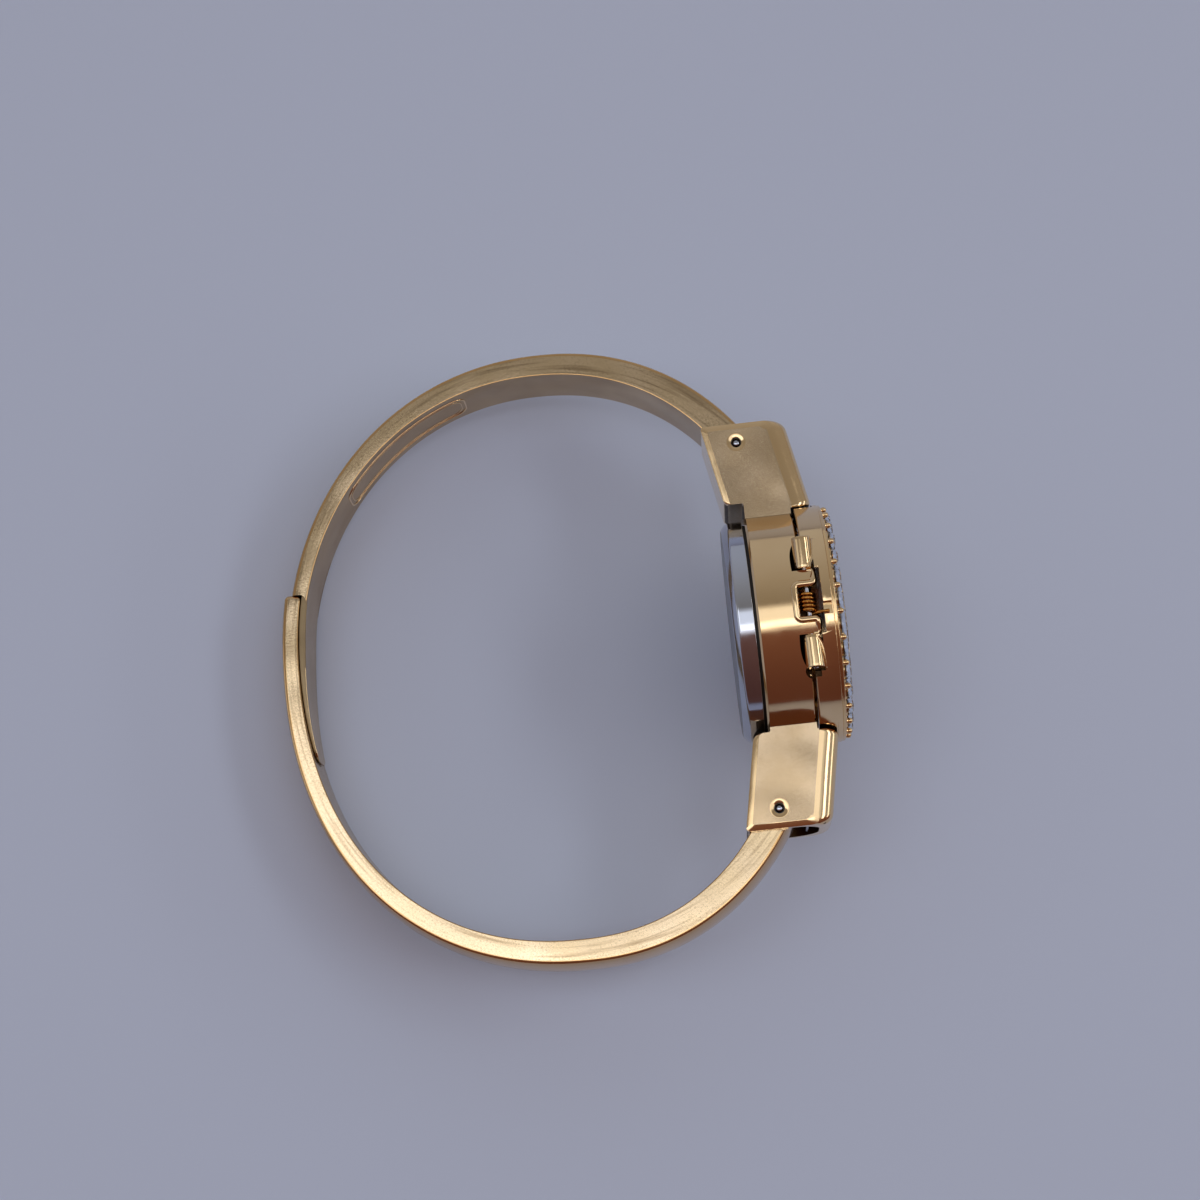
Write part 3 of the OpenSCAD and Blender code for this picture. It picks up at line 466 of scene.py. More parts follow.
def finishPiece(name, bm, look, bodyName, nodeName, smooth=28, paint=None):
    # turns a mesh in millimetres into a finished piece in metres that rides on a body and stands for a node
    # paint gives a face's look from its centre in millimetres and its normal
    bmesh.ops.scale(bm, vec=(mm, mm, mm), verts=bm.verts)
    for face in bm.faces:
        face.smooth = smooth > 0
        if paint:
            face.material_index = paint(face.calc_center_median() / mm, face.normal)
    bm.normal_update()
    made = meshObject(name, bm)
    mesh = made.data
    mesh.validate()
    for one in [look] if isinstance(look, str) else look:
        mesh.materials.append(looks[one])
    if smooth > 0:
        mesh.set_sharp_from_angle(angle=radians(smooth))
        weighted = made.modifiers.new("evenNormals", "WEIGHTED_NORMAL")
        weighted.keep_sharp = True
        weighted.weight = 80
    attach(made, bodyName)
    if nodeName:
        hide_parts(nodeName)


def joinMeshes(parts):
    made = bmesh.new()
    for part in parts:
        mesh = bpy.data.meshes.new("part")
        part.to_mesh(mesh)
        part.free()
        made.from_mesh(mesh)
        bpy.data.meshes.remove(mesh)
    return made


def tube(path, radius, sides, closed=False):
    # a round wire along a path, which may close on itself; radius is a number or a function of the spot
    rings = []
    frameUp = None
    last = len(path) - 1
    for k, here in enumerate(path):
        ahead = path[(k + 1) % len(path)] if closed or k < last else here
        behind = path[k - 1] if closed or k else here
        along = (ahead - behind).normalized()
        if frameUp is None:
            frameUp = along.orthogonal().normalized()
        frameUp = (frameUp - along * frameUp.dot(along)).normalized()
        side = along.cross(frameUp)
        size = radius(here) if callable(radius) else radius
        rings.append([here + size * (frameUp * c + side * s) for c, s in circle((0, 0), 1, sides)])
    return loft(rings, closed=closed)


# The case drum with its hinge block
case = {"radius": 12.0, "bore": 10.8, "back": 2.5, "top": 7.45, "glassRadius": 10.0, "glassSeat": 6.35,
        "dialHole": 9.2, "dialEdge": 9.7, "dialSeat": 4.6, "blockHalf": 3.3, "blockOut": 13.0, "windowHalf": 1.85,
        "windowIn": 10.26, "windowDeep": 6.5, "lugIn": 10.11, "lugLow": 6.4, "lugTop": 8.72, "lip": 0.26,
        "lipEnd": 8.0, "lipThick": 0.5, "lipFrom": 2.8, "pocket": 0.38, "scoop": 1.05,
        "scoopAt": (7.7, -7.1, 10.3)}
hinge = {"out": 11.2, "up": 7.8, "pin": 0.3, "knuckle": 0.95, "length": 3.3, "gap": 0.15}


def onRound(spots, radius):
    # spots (x, y) laid on the 9 o'clock side of a round wall
    return [Vector((x, y, sqrt(radius * radius - y * y))) for x, y in spots]


def caseDrum():
    c = case
    radius, edge, end, top = c["radius"], c["windowHalf"], c["blockHalf"], c["lugTop"]
    drum = revolve(fillet([
        (c["bore"], c["back"], 0.04), (radius - 0.2, c["back"], 0.05), (radius, c["back"] + 0.22, 0.06),
        (radius, c["top"], 0.16), (c["glassRadius"], c["top"], 0.08), (c["glassRadius"], c["glassSeat"], 0),
        (c["dialHole"], c["glassSeat"], 0.05), (c["dialEdge"], c["dialSeat"], 0), (c["bore"], c["dialSeat"], 0)]))
    rod = revolve([(0.0, 6.0), (radius, 6.0), (radius, 9.0), (0.0, 9.0)])
    lugs = []
    for s in (1, -1):
        outline = fillet([(s * edge, c["lugLow"], 0), (s * end, c["lugLow"], 0), (s * end, top, 0.5),
                          (s * edge, top, 0.35)])
        lug = prism(outline, c["lugIn"], c["blockOut"], lambda a, b, c: (b, a, c))
        lugs.append(combine(lug, [rod.copy()], "INTERSECT"))
    rod.free()
    # the knuckles' milled pockets, the spring's window and a ball-shaped run-out
    far = end + hinge["length"] + 2 * hinge["gap"]
    cutters = [barrel((hinge["up"], hinge["out"]), hinge["knuckle"] + c["pocket"], y0, y1)
               for y0, y1 in ((end, far), (-far, -end))]
    cutters.append(prism(fillet(both([(c["windowDeep"], -edge, 0.45), (9.5, -edge, 0)])), c["windowIn"],
                         c["blockOut"]))
    ball = bmesh.new()
    bmesh.ops.create_uvsphere(ball, u_segments=48, v_segments=24, radius=c["scoop"],
                              matrix=Matrix.Translation(c["scoopAt"]))
    cutters.append(ball)
    carved = combine(combine(drum, lugs, "UNION"), cutters, "DIFFERENCE")
    # a rolled edge runs round the window and over the lugs' ends, thicker at the window
    half = [(c["lipEnd"], end - 0.05, 0), (top - 0.1, end - 0.05, 0.45), (top - 0.2, edge, 0.3),
            (c["windowDeep"], edge, 0.5)]
    lip = fillet(both(half), 8)
    bead = tube(onRound(refine(lip, 0.25) + [lip[-1]], radius - 0.2),
                lambda p: c["lip"] * (1 + c["lipThick"] * min(1.0, max(0.0, (c["lipFrom"] - abs(p.y)) / 0.5))), 16)
    return joinMeshes([carved, bead])


def casePaint(centre, normal):
    # painted shade on the inside of the window and of the knuckles' pockets
    deep = hypot(centre.y, centre.z) < case["radius"] - 0.3
    return 1 if deep and centre.z > 8.0 and -8.4 < centre.y < 7 and 6.2 < centre.x < 9.5 else 0


finishPiece("caseDrum", caseDrum(), ["goldPolished", "goldPaintedDarkShade"], "case", "case_body",
            paint=casePaint)
print("stage: case")

# The steel back: a chamfered shell with a neck, whose faces in the groove are painted black as painted shade
steelBack = {"radius": 11.6, "height": 2.5, "chamfer": 0.6, "inside": 10.4, "floor": 0.7, "groove": 0.28,
             "neck": 10.6, "line": (9.6, 9.72), "lineDeep": 0.05}


def backShell():
    b = steelBack
    step = b["height"] - b["groove"]
    outline = fillet([
        (0.0, 0.0, 0), (b["radius"] - b["chamfer"] - 0.1, 0.0, 0.4), (b["radius"], b["chamfer"], 0.4),
        (b["radius"], step, 0.1), (b["neck"], step, 0.05), (b["neck"], b["height"], 0),
        (b["inside"], b["height"], 0.05), (b["inside"], b["floor"], 0.2), (0.0, b["floor"], 0)])
    inner, outer = b["line"]
    line = revolve([(inner, -0.2), (outer, -0.2), (outer, b["lineDeep"]), (inner, b["lineDeep"])])
    return combine(revolve(outline), [line], "DIFFERENCE")


def backPaint(centre, normal):
    # painted shade: the neck's faces in the groove get the black rubber look, and the flat back face the brushed
    # look with its painted darker colour
    if centre.x > steelBack["height"] - steelBack["groove"] + 0.01:
        return 1
    return 2 if normal.x < -0.97 else 0


finishPiece("backShell", backShell(), ["steelPolished", "blackRubberAndPaintedShade", "steelRingBrushedPaintedShade"], "case",
            "case_back", paint=backPaint)
print("stage: back")

# The cover: rim and knuckles, the stones' setting with its beads, and the stones
cover = {"radius": 12.495, "low": 7.75, "top": 10.2, "plate": 0.9, "wall": 1.1, "cutBack": 9.25, "knuckleCut": 8.8,
         "scallop": 12.3, "scallopTop": 9.7, "scallopHalf": 5.1, "notch": (-1.62, -0.3), "settingRadius": 12.4,
         "settingThick": 0.35, "rise": 0.18, "bevel": 0.1, "knuckleIn": 1.1, "beadEdge": 0.1, "beyond": 14}


def knuckleSection(y, shrink):
    # the knuckle's round, carried over into the rim's wall in a hollow curve
    wall = sqrt((cover["radius"] - 0.03) ** 2 - y * y) - shrink
    radius = hinge["knuckle"] - shrink
    up = max(0.0, min(wall + 0.25 - hinge["out"], 0.9)) * radius / hinge["knuckle"]
    start = Vector((hinge["up"] + sqrt(radius * radius - up * up), hinge["out"] + up))
    turn = Vector((start.x + 0.05, wall))
    stop = Vector((start.x + 0.38, wall))
    curve = [start.lerp(turn, u).lerp(turn.lerp(stop, u), u) for u in (k / 10 for k in range(11))]
    first, last = asin(up / radius), radians(315)
    angles = [first + (last - first) * k / 72 for k in range(1, 73)]
    spots = [(c.x, c.y) for c in reversed(curve)]
    spots += [(hinge["up"] + radius * cos(a), hinge["out"] + radius * sin(a)) for a in angles]
    return [(x, y, z) for x, z in spots + [(8.5, 10.0), (stop.x, 10.0)]]


def coverRim():
    c = cover
    beyond = c["beyond"]
    under, wall = c["top"] - c["plate"], c["radius"] - c["wall"]
    rim = revolve(fillet([
        (0.0, under, 0), (wall, under, 0.1), (wall, c["low"], 0.05), (c["radius"], c["low"], 0.14),
        (c["radius"], c["top"], 0.1), (0.0, c["top"], 0)]))
    # the knuckles' room reaches from near to far on both sides
    near = case["blockHalf"] + hinge["gap"]
    far = near + hinge["length"]
    low, deep = c["low"] - 1, hinge["out"] - c["knuckleIn"]
    cutters = [
        boxMesh((low, near - 0.01, deep), (c["knuckleCut"], far + 0.2, beyond)),
        boxMesh((low, -far - 0.2, deep), (c["knuckleCut"], -near + 0.01, beyond)),
        boxMesh((low, -far - 0.7, 9.4), (8.35, -far, beyond)),
        boxMesh((low, -near, deep), (c["cutBack"], near, beyond)),
        boxMesh((c["low"], c["notch"][0], hinge["out"] + 0.3), (c["top"] - 0.12, c["notch"][1], beyond))]
    for side in (1, -1):
        ring = revolve([(c["scallop"], low), (beyond, low), (beyond, c["scallopTop"]),
                        (c["scallop"], c["scallopTop"])])
        half = boxMesh((low - 1, min(0, side * beyond), -c["scallopHalf"]),
                       (beyond, max(0, side * beyond), c["scallopHalf"]))
        cutters.append(combine(ring, [half], "INTERSECT"))
    rim = combine(rim, cutters, "DIFFERENCE")
    ease(rim, c["bevel"], 40, lambda e: min(hypot(v.co.y, v.co.z) for v in e.verts) > 11.0
         and min(v.co.z for v in e.verts) > 7.0)
    ends = [(0.1 * (1 - cos(a)), 0.1 * (1 - sin(a))) for a in (pi / 6 * k for k in range(4))]
    knuckles = []
    for y0, y1 in ((near, far), (-far, -near)):
        rows = [(y0 + along, shrink) for along, shrink in ends]
        rows += [(y0 + (y1 - y0) * k / 10, 0.0) for k in range(1, 10)]
        rows += [(y1 - along, shrink) for along, shrink in reversed(ends)]
        knuckles.append(loft([knuckleSection(y, shrink) for y, shrink in rows]))
    parts = [combine(rim, knuckles, "UNION")]
    # a bright bead follows the cut between the knuckles, open at the spring's notch
    height = c["cutBack"] + 0.05
    for corner, stop in ((near + 0.02, c["notch"][1] + 0.05), (-near - 0.02, c["notch"][0] - 0.05)):
        bend = fillet([(c["knuckleCut"], corner, 0), (height, corner, 0.35), (height, 0.0, 0)], 8)[:-1]
        straight = [(height, bend[-1][1] + (stop - bend[-1][1]) * k / 8) for k in range(1, 9)]
        parts.append(tube(onRound(bend + straight, c["radius"] - 0.105), c["beadEdge"], 10))
    return joinMeshes(parts)


def rimPaint(centre, normal):
    # painted shade on the walls that face the hinge block
    inside = hypot(centre.y, centre.z) < cover["radius"] - 0.12 and centre.z > 9 and -8.2 < centre.y < 7
    return 1 if inside and centre.x < 9.6 and (normal.x < -0.5 or centre.z < 10.4 or centre.y < -6.9) else 0


finishPiece("coverRim", coverRim(), ["goldPolished", "goldPaintedDarkShade"], "cover", "lid_frame",
            paint=rimPaint)
print("stage: cover rim")

stones = {"outerRing": 10.85, "step": 2.6, "counts": (28, 21, 14, 7), "radius": 1.0, "height": 0.84,
          "middle": 1.42, "middleHeight": 0.82, "middleSeat": 1.6, "sides": 16, "lift": 0.02,
          # the thread round a seat, as (out, up)
          "thread": ((0.10, -0.03), (0.05, 0.17), (-0.06, -0.03)),
          # a cut stone's rows, as (radius share, height share, corners, shift)
          "facets": ((0.40, 0.10, 8, 0.5), (0.98, 0.30, 16, 0.0), (1.0, 0.38, 16, 0.0), (0.80, 0.66, 16, 0.5),
                     (0.55, 1.0, 8, 0.5))}
# The beads' foot is given as (radius share, up)
beads = {"outer": 0.33, "inner": 0.26, "outerRing": 11.88, "middleRing": 1.8, "height": 0.36, "sides": 10,
         "foot": ((1.15, -0.05), (0.9, 0.06), (0.78, 0.18))}


def seatHeight(k):
    return cover["top"] + cover["settingThick"] + k * cover["rise"]


def ringRadius(k):
    return stones["outerRing"] - k * stones["step"]


def ringSpots(radius, count, shift=0.0):
    # the spots (y, z) of a ring of stones or beads, from 3 o'clock on
    return [(-radius * sin(a), -radius * cos(a)) for a in turns(count, shift)]


def settingPlate():
    low = cover["top"]
    corners = [(0.0, low, 0), (cover["settingRadius"], low, 0.03), (cover["settingRadius"], seatHeight(0), 0.1)]
    for k, radius in enumerate([ringRadius(k) for k in (0.5, 1.5, 2.5)] + [stones["middleSeat"]]):
        corners += [(radius, seatHeight(k), 0.04), (radius, seatHeight(k + 1), 0.06)]
    corners.append((0.0, seatHeight(4), 0))
    parts = [revolve(fillet(corners, 3), 168)]
    rings = [(beads["outerRing"], seatHeight(0), beads["outer"], stones["counts"][0])]
    rings += [(ringRadius(k + 0.5), seatHeight(k), beads["inner"], stones["counts"][k]) for k in range(3)]
    rings.append((beads["middleRing"], seatHeight(3), beads["inner"], stones["counts"][3]))
    for radius, seat, ball, count in rings:
        profile = [(ball * r, seat + up) for r, up in beads["foot"]]
        profile += [(ball * sin(f), seat + beads["height"] - ball * cos(f))
                    for f in (pi * v / 7 for v in range(2, 7))]
        for spot in ringSpots(radius, count, 0.5):
            parts.append(loft([[(up, y, z) for y, z in circle(spot, r, beads["sides"])] for r, up in profile]))
    # a thin raised thread of gold round each stone's seat
    rings = [(ringRadius(k), seatHeight(k), stones["counts"][k], stones["radius"]) for k in range(4)]
    rings.append((0.0, seatHeight(4), 1, stones["middle"]))
    for radius, seat, count, size in rings:
        for spot in ringSpots(radius, count):
            rows = [[(seat + up, y, z) for y, z in circle(spot, size + r, stones["sides"])]
                    for r, up in stones["thread"]]
            parts.append(loft(list(zip(*rows)), closed=True))
    return joinMeshes(parts)


finishPiece("settingPlate", settingPlate(), "goldSetting", "cover", "stone_setting", 40)


def cutStone(at, size, height, spin):
    # a flat-backed stone: table, star, main and girdle facets over a shallow foiled back
    x0, y0, z0 = at
    bm = bmesh.new()
    loops = [[bm.verts.new((x0 + height * h, y, z)) for y, z in circle((y0, z0), size * r, count, shift, spin)]
             for r, h, count, shift in stones["facets"]]
    back, low, high, mid, table = loops
    point = bm.verts.new((x0 + height * 0.03, y0, z0))
    foil, rim, top = [], [], []
    for k in range(8):
        a, b, c, n = 2 * k, 2 * k + 1, (2 * k + 2) % 16, (k + 1) % 8
        foil += [(point, back[k], back[n]), (back[k], low[b], low[c]), (back[k], low[a], low[b]),
                 (back[k], low[c], back[n])]
        top += [(mid[a], mid[b], table[k]), (mid[b], mid[c], table[k]), (table[k], mid[c], table[n])]
    for k in range(16):
        n = (k + 1) % 16
        rim += [(low[k], low[n], high[n], high[k]), (high[k], high[n], mid[k]), (mid[k], high[n], mid[n])]
    for k, corners in enumerate(foil + rim + top + [table]):
        bm.faces.new(corners).material_index = 1 if k < len(foil) else 0
    bmesh.ops.recalc_face_normals(bm, faces=bm.faces)
    return bm


def stoneRing(k, spin):
    # the stones of one ring, each turned a little on from the one before
    count = stones["counts"][k]
    return [cutStone((seatHeight(k) + stones["lift"], y, z), stones["radius"], stones["height"], spin + a * 1.7)
            for (y, z), a in zip(ringSpots(ringRadius(k), count), turns(count))]


innerOnes = [one for k in (1, 2, 3) for one in stoneRing(k, 0.3 * k)]
innerOnes.append(cutStone((seatHeight(4) + stones["lift"], 0, 0), stones["middle"], stones["middleHeight"], 0.2))
for pieceName, nodeName, made in (("outerStones", "outer_stones", stoneRing(0, 0.1)),
                                  ("innerStones", "inner_stones", innerOnes)):
    finishPiece(pieceName, joinMeshes(made), ["stoneGlass", "stoneFoil"], "cover", nodeName, 0)
print("stage: setting and stones")

# The hinge pin and the coil spring, whose still leg lies along the window's wall
finishPiece("hingePin", barrel((hinge["up"], hinge["out"]), hinge["pin"], -6.8, 6.8, 0.08, 32), "steelPolished",
            "case", "lid_hinge_pin")
coil = {"radius": 0.7, "wire": 0.165, "turns": 5, "pitch": 0.4, "start": 0.95, "sides": 12, "perTurn": 28,
        "leg": ((6.74, -0.1, 11.0), (6.74, 0.6, 11.1), (6.76, 1.2, 11.05), (6.95, 1.5, 10.85), (7.35, 1.35, 10.6))}


def coilSpring():
    c = coil
    up = hinge["up"]
    points = [Vector(spot) for spot in c["leg"]]
    for k in range(c["turns"] * c["perTurn"] + 1):
        a = 2 * pi * k / c["perTurn"] + pi
        points.append(Vector((up + c["radius"] * sin(a), c["start"] - c["pitch"] * k / c["perTurn"],
                              hinge["out"] + c["radius"] * cos(a))))
    # the moving leg leaves the last turn and lies in the cover's notch
    tip = points[-1]
    stop = tip.y - 0.1
    points += [Vector((up - 0.2, stop, tip.z + 0.05)), Vector((up + 0.4, stop - 0.05, tip.z + 0.5)),
               Vector((up + 0.9, stop - 0.05, 11.75)), Vector((up + 2.0, stop - 0.02, 11.85))]
    return tube(points, c["wire"], c["sides"])


finishPiece("coverSpring", coilSpring(), "bronzeWire", "case", "lid_spring", 60)
print("stage: hinge")

# The arms follow superellipses whose front half is fitted to the pins in the end pieces
arm = {"half": 3.75, "back": 18.4, "power": 2.2,
       # each arm's oval, as (deep, half, power)
       "lower": (26.85, 30.4, 2.2), "upper": (26.35, 29.5, 2.05),
       "armIn": 1.83, "head": 3.15, "end": 1.7, "dome": 0.42, "innerEdge": 0.12, "outerEdge": 0.42, "rings": 150,
       "lowerEnd": 8.4, "shoulder": 8.85, "eye": 2.2, "tongueThick": 0.7, "tongueHalf": 3.4, "tongueEnd": -9.0,
       "tongueSeat": 4.5, "tongueGap": 0.05, "spurEnd": 7.6, "bore": 0.54, "thinning": 1.35, "start": 35,
       # the lower arm's rounded end, as (drop, ahead)
       "ending": ((0.0, 0.02), (0.03, 0.2), (0.12, 0.38), (0.27, 0.5), (0.46, 0.56)),
       # the tongue's seat in the upper arm is cut at these y, to this half width and depth
       "seatYs": (13.35, 12.5, 11.5, 10.5, 9.5, 8.0, 6.5), "seatHalf": 3.42, "seatDeep": 1.7,
       "taperFrom": 3.0, "taperThin": 0.42, "taperNarrow": 1.1, "tip": 0.9}


def ovalFront(half):
    return ((endPiece["pinX"] - arm["armIn"] + arm["back"])
            / (1 - (endPiece["pinY"] / half) ** arm["power"]) ** (1 / arm["power"]))


def ovalPoint(a, oval):
    deep, half, power = oval
    c, s = cos(a), sin(a)
    reach, p = (deep, power) if c < 0 else (ovalFront(half), arm["power"])
    return Vector((-arm["back"] + copysign(reach * abs(c) ** (2 / p), c),
                   copysign(half * abs(s) ** (2 / p), s)))


def ovalOut(a, oval):
    d = ovalPoint(a + 0.005, oval) - ovalPoint(a - 0.005, oval)
    d.normalize()
    return Vector((d.y, -d.x))


# The end pieces, drawn at 12 o'clock: near is towards the head, the foot is on the wrist side
endPiece = {"foot": 0.8, "lean": 10.8, "depth": 8.7, "half": 4.6, "near": 12.4, "nearDial": 11.6, "far": 21.5,
            "round": 1.4, "roll": 2.3, "plate": 0.7, "wall": 0.8, "back": 0.6, "band": 0.6, "bandDrop": 0.13,
            "corner": 1.3, "inCorner": 2.8, "stepFrom": 2.7, "stepTo": 7.65, "sink": 9.5, "closing": 0.7,
            "pinX": 2.7, "pinY": 19.45,
            # the pin's hole, as (up, radius): bore, bright lip and shallow dish
            "hole": ((4.51, 0.56), (4.57, 0.76), (4.6, 1.0), (4.9, 1.1)),
            # the room that the drum and the cover take, as (radius, up)
            "head": ((0.0, -1.0), (12.01, -1.0), (12.01, 7.5), (12.6, 7.5), (12.6, 12.0), (0.0, 12.0))}
# The lower piece's near corners are rounder, and its wrist side starts nearer to the head
hoods = {
    "upperHood": {"side": 1, "node": "upper_end_piece", "corner": 0.85, "dialCorner": 0.9, "rise": -0.35,
                  "oval": (26.85, 29.5, 2.2)},
    "lowerHood": {"side": -1, "node": "lower_end_piece", "corner": 1.2, "dialCorner": 1.3, "rise": 0.8,
                  "oval": (26.85, 30.4, 2.2)}}
endReach = endPiece["depth"] / cos(radians(endPiece["lean"]))


def leanX(y, shift):
    return endPiece["foot"] + shift - tan(radians(endPiece["lean"])) * (y - endPiece["near"])


def endOutline(hood, wrist, far, dial):
    # the end piece's leaning outline with its step over the drum, each side moved in by its own amount
    e = endPiece
    near, wristNear, end = e["nearDial"] + 0.15 * dial, e["near"] - hood["rise"], e["far"] - far
    return fillet([
        (leanX(wristNear, wrist), wristNear, max(hood["corner"] - wrist, 0.2)), (e["stepFrom"], wristNear, 0.2),
        (e["stepFrom"], e["sink"], 0.05), (e["stepTo"], e["sink"], 0.05), (e["stepTo"], near, 0.15),
        (leanX(near, endReach - dial), near, max(hood["dialCorner"] - dial * 0.3, 0.3)),
        (leanX(end, endReach - dial), end, max(e["corner"] - dial * 0.2, 0.3)),
        (leanX(end, wrist), end, max(0.35 - wrist * 0.3, 0.15))], 10)


def endHood(hood):
    e = endPiece
    rows = []
    levels = 14
    for k in range(levels + 1):
        a = pi / 2 * k / levels
        drop = (e["round"] + e["bandDrop"]) * (1 - cos(a))
        side = e["band"] * max(0.0, 1 - drop / e["bandDrop"])
        rows.append((e["half"] - drop, endOutline(hood, side, side, e["roll"] * (1 - sin(a)))))
    rows += [(-up, outline) for up, outline in reversed(rows)]
    shell = loft([[(x, y, up) for x, y in outline] for up, outline in rows])
    inner = e["half"] - e["plate"]
    deep = endReach - e["wall"] - 0.5
    section = fillet(both([(e["back"], -inner, 0.1), (deep, -inner, e["inCorner"])]), 10)
    hollow = loft([[(leanX(y, u), y, z) for u, z in section] for y in (e["near"] - 7, e["far"] + 2)])
    # closing walls stay at the near end, on both sides of the step
    walls = [boxMesh((e["stepTo"], e["nearDial"] - 1, -5), (14, e["near"] + e["closing"], 5)),
             boxMesh((-8, e["near"] - 8, -5), (e["stepFrom"], e["near"] - hood["rise"] + e["closing"], 5))]
    hollow = combine(hollow, walls, "DIFFERENCE")
    # the mouth follows the arm's inner face where the arm comes out
    spots = [(ovalPoint(a, hood["oval"]), ovalOut(a, hood["oval"])) for a in map(radians, range(24, 55, 3))]
    spots = [(p, n) for p, n in spots if p.y > e["pinY"] - 1]
    mouth = prism([tuple(p - n * 0.08) for p, n in spots] + [tuple(p + n * 1.5) for p, n in reversed(spots)],
                  -inner - 0.03, inner + 0.03)
    profile = [(-up, radius) for up, radius in reversed(e["hole"])] + list(e["hole"])
    hole = loft([[(x, y, up) for x, y in circle((e["pinX"], e["pinY"]), radius, 48)] for up, radius in profile])
    shell = combine(combine(shell, [hollow], "DIFFERENCE"), [revolve(e["head"]), mouth, hole], "DIFFERENCE")
    if hood["side"] < 0:
        mirrored(shell)
    ease(shell, 0.06, 50)
    return shell


def endPaint(centre, normal):
    # brushed plates, painted shade on the near ends, the hollow and the pin's bore, and all else polished
    e = endPiece
    x, y, z = centre
    y = abs(y)
    if abs(normal.z) > 0.999 and abs(z) > e["half"] - 0.02:
        return 1
    if hypot(x - e["pinX"], y - e["pinY"]) < 0.6:
        return 2
    if abs(normal.y) > 0.9 and y < e["near"] + 0.8:
        return 3 if x < e["stepFrom"] else 2
    hollow = abs(z) < e["half"] - e["plate"] + 0.04 and e["near"] < y < e["far"] - 0.05
    return 2 if hollow and leanX(y, 0.1) < x < leanX(y, endReach - e["wall"] + 0.05) else 0


# the last two looks are painted shade: dark in the hollow and bore, grey-brown on the near walls
for hoodName, hood in hoods.items():
    finishPiece(hoodName, endHood(hood), ["goldPolished", "goldBrushed", "goldPaintedDarkShade", "goldPaintedGreyShade"],
                "case", hood["node"], 10.5, endPaint)
print("stage: end pieces")

# Half of an arm pin's outline, as (radius, up): its end shows in the end piece's hole
pinHalf = ((0.16, 4.38), (0.30, 4.32), (0.39, 4.22), (0.41, 4.14), (0.41, 3.9), (0.5, 3.88))


def armPin(side):
    outline = [(r, -up) for r, up in pinHalf] + list(reversed(pinHalf))
    return loft([[(x, y, up) for x, y in circle((endPiece["pinX"], side * endPiece["pinY"]), r, 32)]
                 for r, up in outline])


for side, nodeName, pieceName in ((1, "upper_arm_pin", "upperArmPin"), (-1, "lower_arm_pin", "lowerArmPin")):
    finishPiece(pieceName, armPin(side), "steelPolished", "case", nodeName, 40)
print("stage: arm pins")


def armSection(p, n, thick, half):
    # flat inside, flat edges with eased corners, domed outside
    i, o = arm["innerEdge"], arm["outerEdge"]
    rise = arm["dome"] * thick / arm["head"]
    side = [(0.0, half - i), (i * 0.3, half - i * 0.3), (i, half), (thick - o, half),
            (thick - o * 0.3, half - o * 0.3), (thick, half - o)]
    dome = [(thick + rise * (1 - s * s), (half - o) * s) for s in (0.8, 0.55, 0.28, 0.0, -0.28, -0.55, -0.8)]
    spots = [(0.0, i - half)] + side + dome + [(h, -z) for h, z in reversed(side[1:])]
    return [(p.x + n.x * h, p.y + n.y * h, z) for h, z in spots]


def spanAngle(y, oval):
    # the angle past the side at which an oval's back half comes down to y
    deep, half, power = oval
    return asin((y / half) ** (power / 2))


def armBar(oval, stop, ending):
    # an arm from its eye's middle to its end, drawn on the 12 o'clock side
    start = radians(arm["start"])
    rings = []
    for k in range(arm["rings"] + 1):
        u = k / arm["rings"]
        a = start + (stop - start) * u
        thick = arm["end"] + (arm["head"] - arm["end"]) * (1 - u) ** arm["thinning"]
        rings.append(armSection(ovalPoint(a, oval), ovalOut(a, oval), thick, arm["half"]))
    p, n = ovalPoint(stop, oval), ovalOut(stop, oval)
    ahead = Vector((-n.y, n.x))
    for drop, on in ending:
        rings.append(armSection(p + n * drop + ahead * on, n, arm["end"] - 2 * drop, arm["half"] - drop))
    return loft(rings)


def armPaint(centre, normal):
    # flat edges tumbled, the inner face buffed with painted shade, the dome and the eased corners polished with a
    # painted darker reflection
    if abs(normal.z) > 0.98:
        return 1
    inward = (centre.x + arm["back"]) * normal.x + centre.y * normal.y < 0
    return 2 if inward and abs(normal.z) < 0.05 else 0


def withEye(bar, side, cutters):
    # the arm's head end is a round eye that turns on its pin
    at = (endPiece["pinX"], side * endPiece["pinY"])
    eye = prism(circle(at, arm["eye"], 64), -arm["half"], arm["half"])
    bore = prism(circle(at, arm["bore"], 48), -5, 5)
    return combine(combine(bar, [eye], "UNION"), [bore] + cutters, "DIFFERENCE")


def lowerArm():
    stop = pi + spanAngle(arm["lowerEnd"] - arm["ending"][-1][1], arm["lower"])
    return withEye(mirrored(armBar(arm["lower"], stop, arm["ending"])), -1, [])


def innerX(y, oval):
    # where an oval's back half is at y
    deep, half, power = oval
    return -arm["back"] - deep * (1 - (abs(y) / half) ** power) ** (1 / power)


def tongueX(y):
    return max(innerX(y, arm["lower"]) + arm["tongueGap"], innerX(y, arm["upper"]) - arm["tongueThick"])


def tongueBlade():
    # a thin blade, cut square next to the lower arm and eased on the wrist side
    steps = 60
    top, end = arm["shoulder"] + arm["tongueSeat"], arm["tongueEnd"]
    rings = []
    for k in range(steps + 1):
        y = top + (end - top) * k / steps
        away = max(0.0, 1 - (y - end) / arm["tip"])
        taper = min(1.0, max(0.0, (arm["taperFrom"] - y) / (arm["taperFrom"] - end)))
        half = arm["tongueHalf"] - arm["taperNarrow"] * taper ** 2
        tip = half - arm["tip"] * (1 - sqrt(max(0.0, 1 - away * away)))
        thin = (arm["tongueThick"] - arm["taperThin"] * taper) * (1 - 0.5 * away * away)
        x = tongueX(y)
        rings.append([(x + a, y, b) for a, b in fillet(both([(0, -tip, 0.04), (thin, -tip, 0.1)]), 4)])
    return loft(rings)


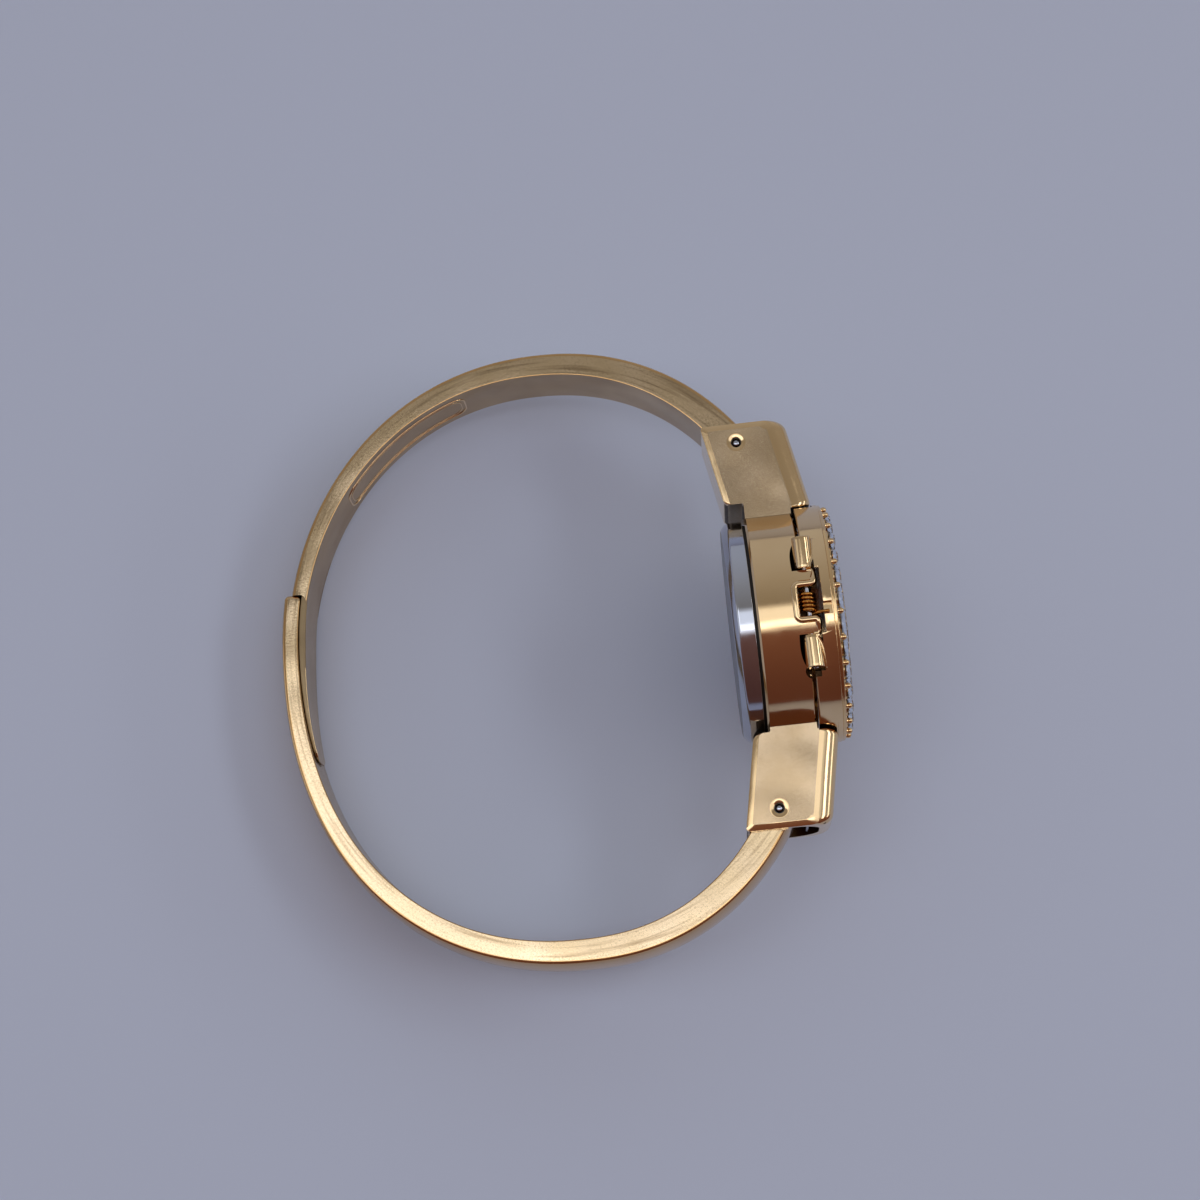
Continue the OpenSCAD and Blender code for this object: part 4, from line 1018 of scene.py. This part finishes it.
def tonguePaint(centre, normal):
    # painted grey shade on the long edges and on the upper half of the wrist-side corners, whose lower half stays
    # polished; the broad faces keep the arms' inner look with its painted shade
    if abs(normal.z) > 0.9 or (abs(normal.z) > 0.25 and centre.y > 0.5):
        return 1
    return 2 if abs(normal.z) > 0.25 and normal.x > 0 else 0


def upperArm():
    ys = arm["seatYs"]
    seat = prism([(tongueX(y) - 0.02, y) for y in ys] + [(tongueX(y) + arm["seatDeep"], y) for y in reversed(ys)],
                 -arm["seatHalf"], arm["seatHalf"])
    # the arm's end is scooped out over the lower arm's end and runs to a point on its inner side
    spur = arm["spurEnd"]
    x = innerX(spur, arm["lower"])
    wide = innerX(spur, arm["upper"]) - x - 0.01
    high = arm["shoulder"] - 0.35 - spur
    curve = [(x + wide * cos(t), spur + high * sin(t)) for t in (pi / 2 * k / 12 for k in range(13))]
    scoop = prism([(x - 4, spur - 2), (x + wide, spur - 2)] + curve + [(x - 4, spur + high)], -4.2, 4.2)
    stop = pi - spanAngle(spur - 0.2, arm["upper"])
    return withEye(armBar(arm["upper"], stop, []), 1, [seat, scoop])


# Two fine raised lines, as (inset, radius), frame a bare field on the inside of the upper arm
cartoucheSet = {"long": 17.0, "half": 2.35, "from": 105.5, "to": 140.5, "corner": 1.3, "sunk": 0.01,
                "lines": ((0.0, 0.12), (0.45, 0.08))}


def cartouche():
    c = cartoucheSet
    start, stop = radians(c["from"]), radians(c["to"])
    parts = []
    for inset, radius in c["lines"]:
        half = c["half"] - inset
        outline = fillet(both([(inset, -half, c["corner"]), (c["long"] - inset, -half, c["corner"])]), 8)
        path = []
        for s, z in refine(outline + outline[:1], 0.5):
            a = start + (stop - start) * s / c["long"]
            p = ovalPoint(a, arm["upper"]) + ovalOut(a, arm["upper"]) * c["sunk"]
            path.append(Vector((p.x, p.y, z)))
        parts.append(tube(path, radius, 8, True))
    return joinMeshes(parts)


# the arms' looks: outer faces with a painted darker reflection, tumbled flat edges, inner faces with painted shade
armLooks = ["goldArmOutsidePaintedReflection", "goldSatin", "goldArmInsidePaintedShade"]
finishPiece("lowerArmBar", lowerArm(), armLooks, "lower_arm_body", "lower_arm", 30, armPaint)
finishPiece("upperArmBar", upperArm(), armLooks, "upper_arm_body", "upper_arm", 30, armPaint)
finishPiece("claspBlade", tongueBlade(), ["goldArmInsidePaintedShade", "goldPaintedGreyShade", "goldPolished"], "upper_arm_body",
            "clasp_tongue", 30, tonguePaint)
finishPiece("armCartouche", cartouche(), "goldPolished", "upper_arm_body", None, 60)
print("stage: arms")

# The crown at 3 o'clock; its outline is (out, radius share)
crownSet = {"at": 3.3, "from": -12.3, "radius": 1.55, "flutes": 24, "depth": 0.12, "fluted": (2, 3, 4),
            "outline": ((0.0, 0.35), (0.02, 0.6), (0.15, 0.93), (1.32, 1.0), (1.5, 0.94), (1.64, 0.84),
                        (1.69, 0.7), (1.7, 0.3))}


def crownKnob():
    c = crownSet
    count = c["flutes"] * 8
    rings = []
    for k, (out, share) in enumerate(c["outline"]):
        # the flutes run only along the crown's straight part
        depth = c["depth"] if k in c["fluted"] else 0.0
        radii = [c["radius"] * share - depth * max(0.0, 1 - abs(s % 8 - 4) / 2.2) for s in range(count)]
        rings.append([(c["at"] + r * cos(t), r * sin(t), c["from"] - out) for r, t in zip(radii, turns(count))])
    return loft(rings)


finishPiece("crownKnob", crownKnob(), "goldPolished", "crown_body", "crown", 30)
print("stage: crown")

# What the solids already draw well only gets its material
plainNodes = {
    "blackRubberAndPaintedShade": ["back_gasket"], "sealPlastic": ["crystal_gasket"], "crystalGlass": ["crystal"],
    "dialEnamel": ["dial"], "holderPlastic": ["movement_holder"], "brassPlate": ["movement", "battery_strap"],
    "goldPolished": ["hour_markers", "hour_hand", "minute_hand", "release_button"],
    "steelRolled": ["battery", "upper_arm_spring", "lower_arm_spring"],
    "steelPolished": ["strap_screws", "crown_tube", "winding_stem", "lid_catch"]}
for lookName, nodeNames in plainNodes.items():
    for nodeName in nodeNames:
        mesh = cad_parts[nodeName].data
        if not mesh.materials:
            mesh.materials.append(looks[lookName])
        for k in range(len(mesh.materials)):
            mesh.materials[k] = looks[lookName]
print("stage: plain nodes")
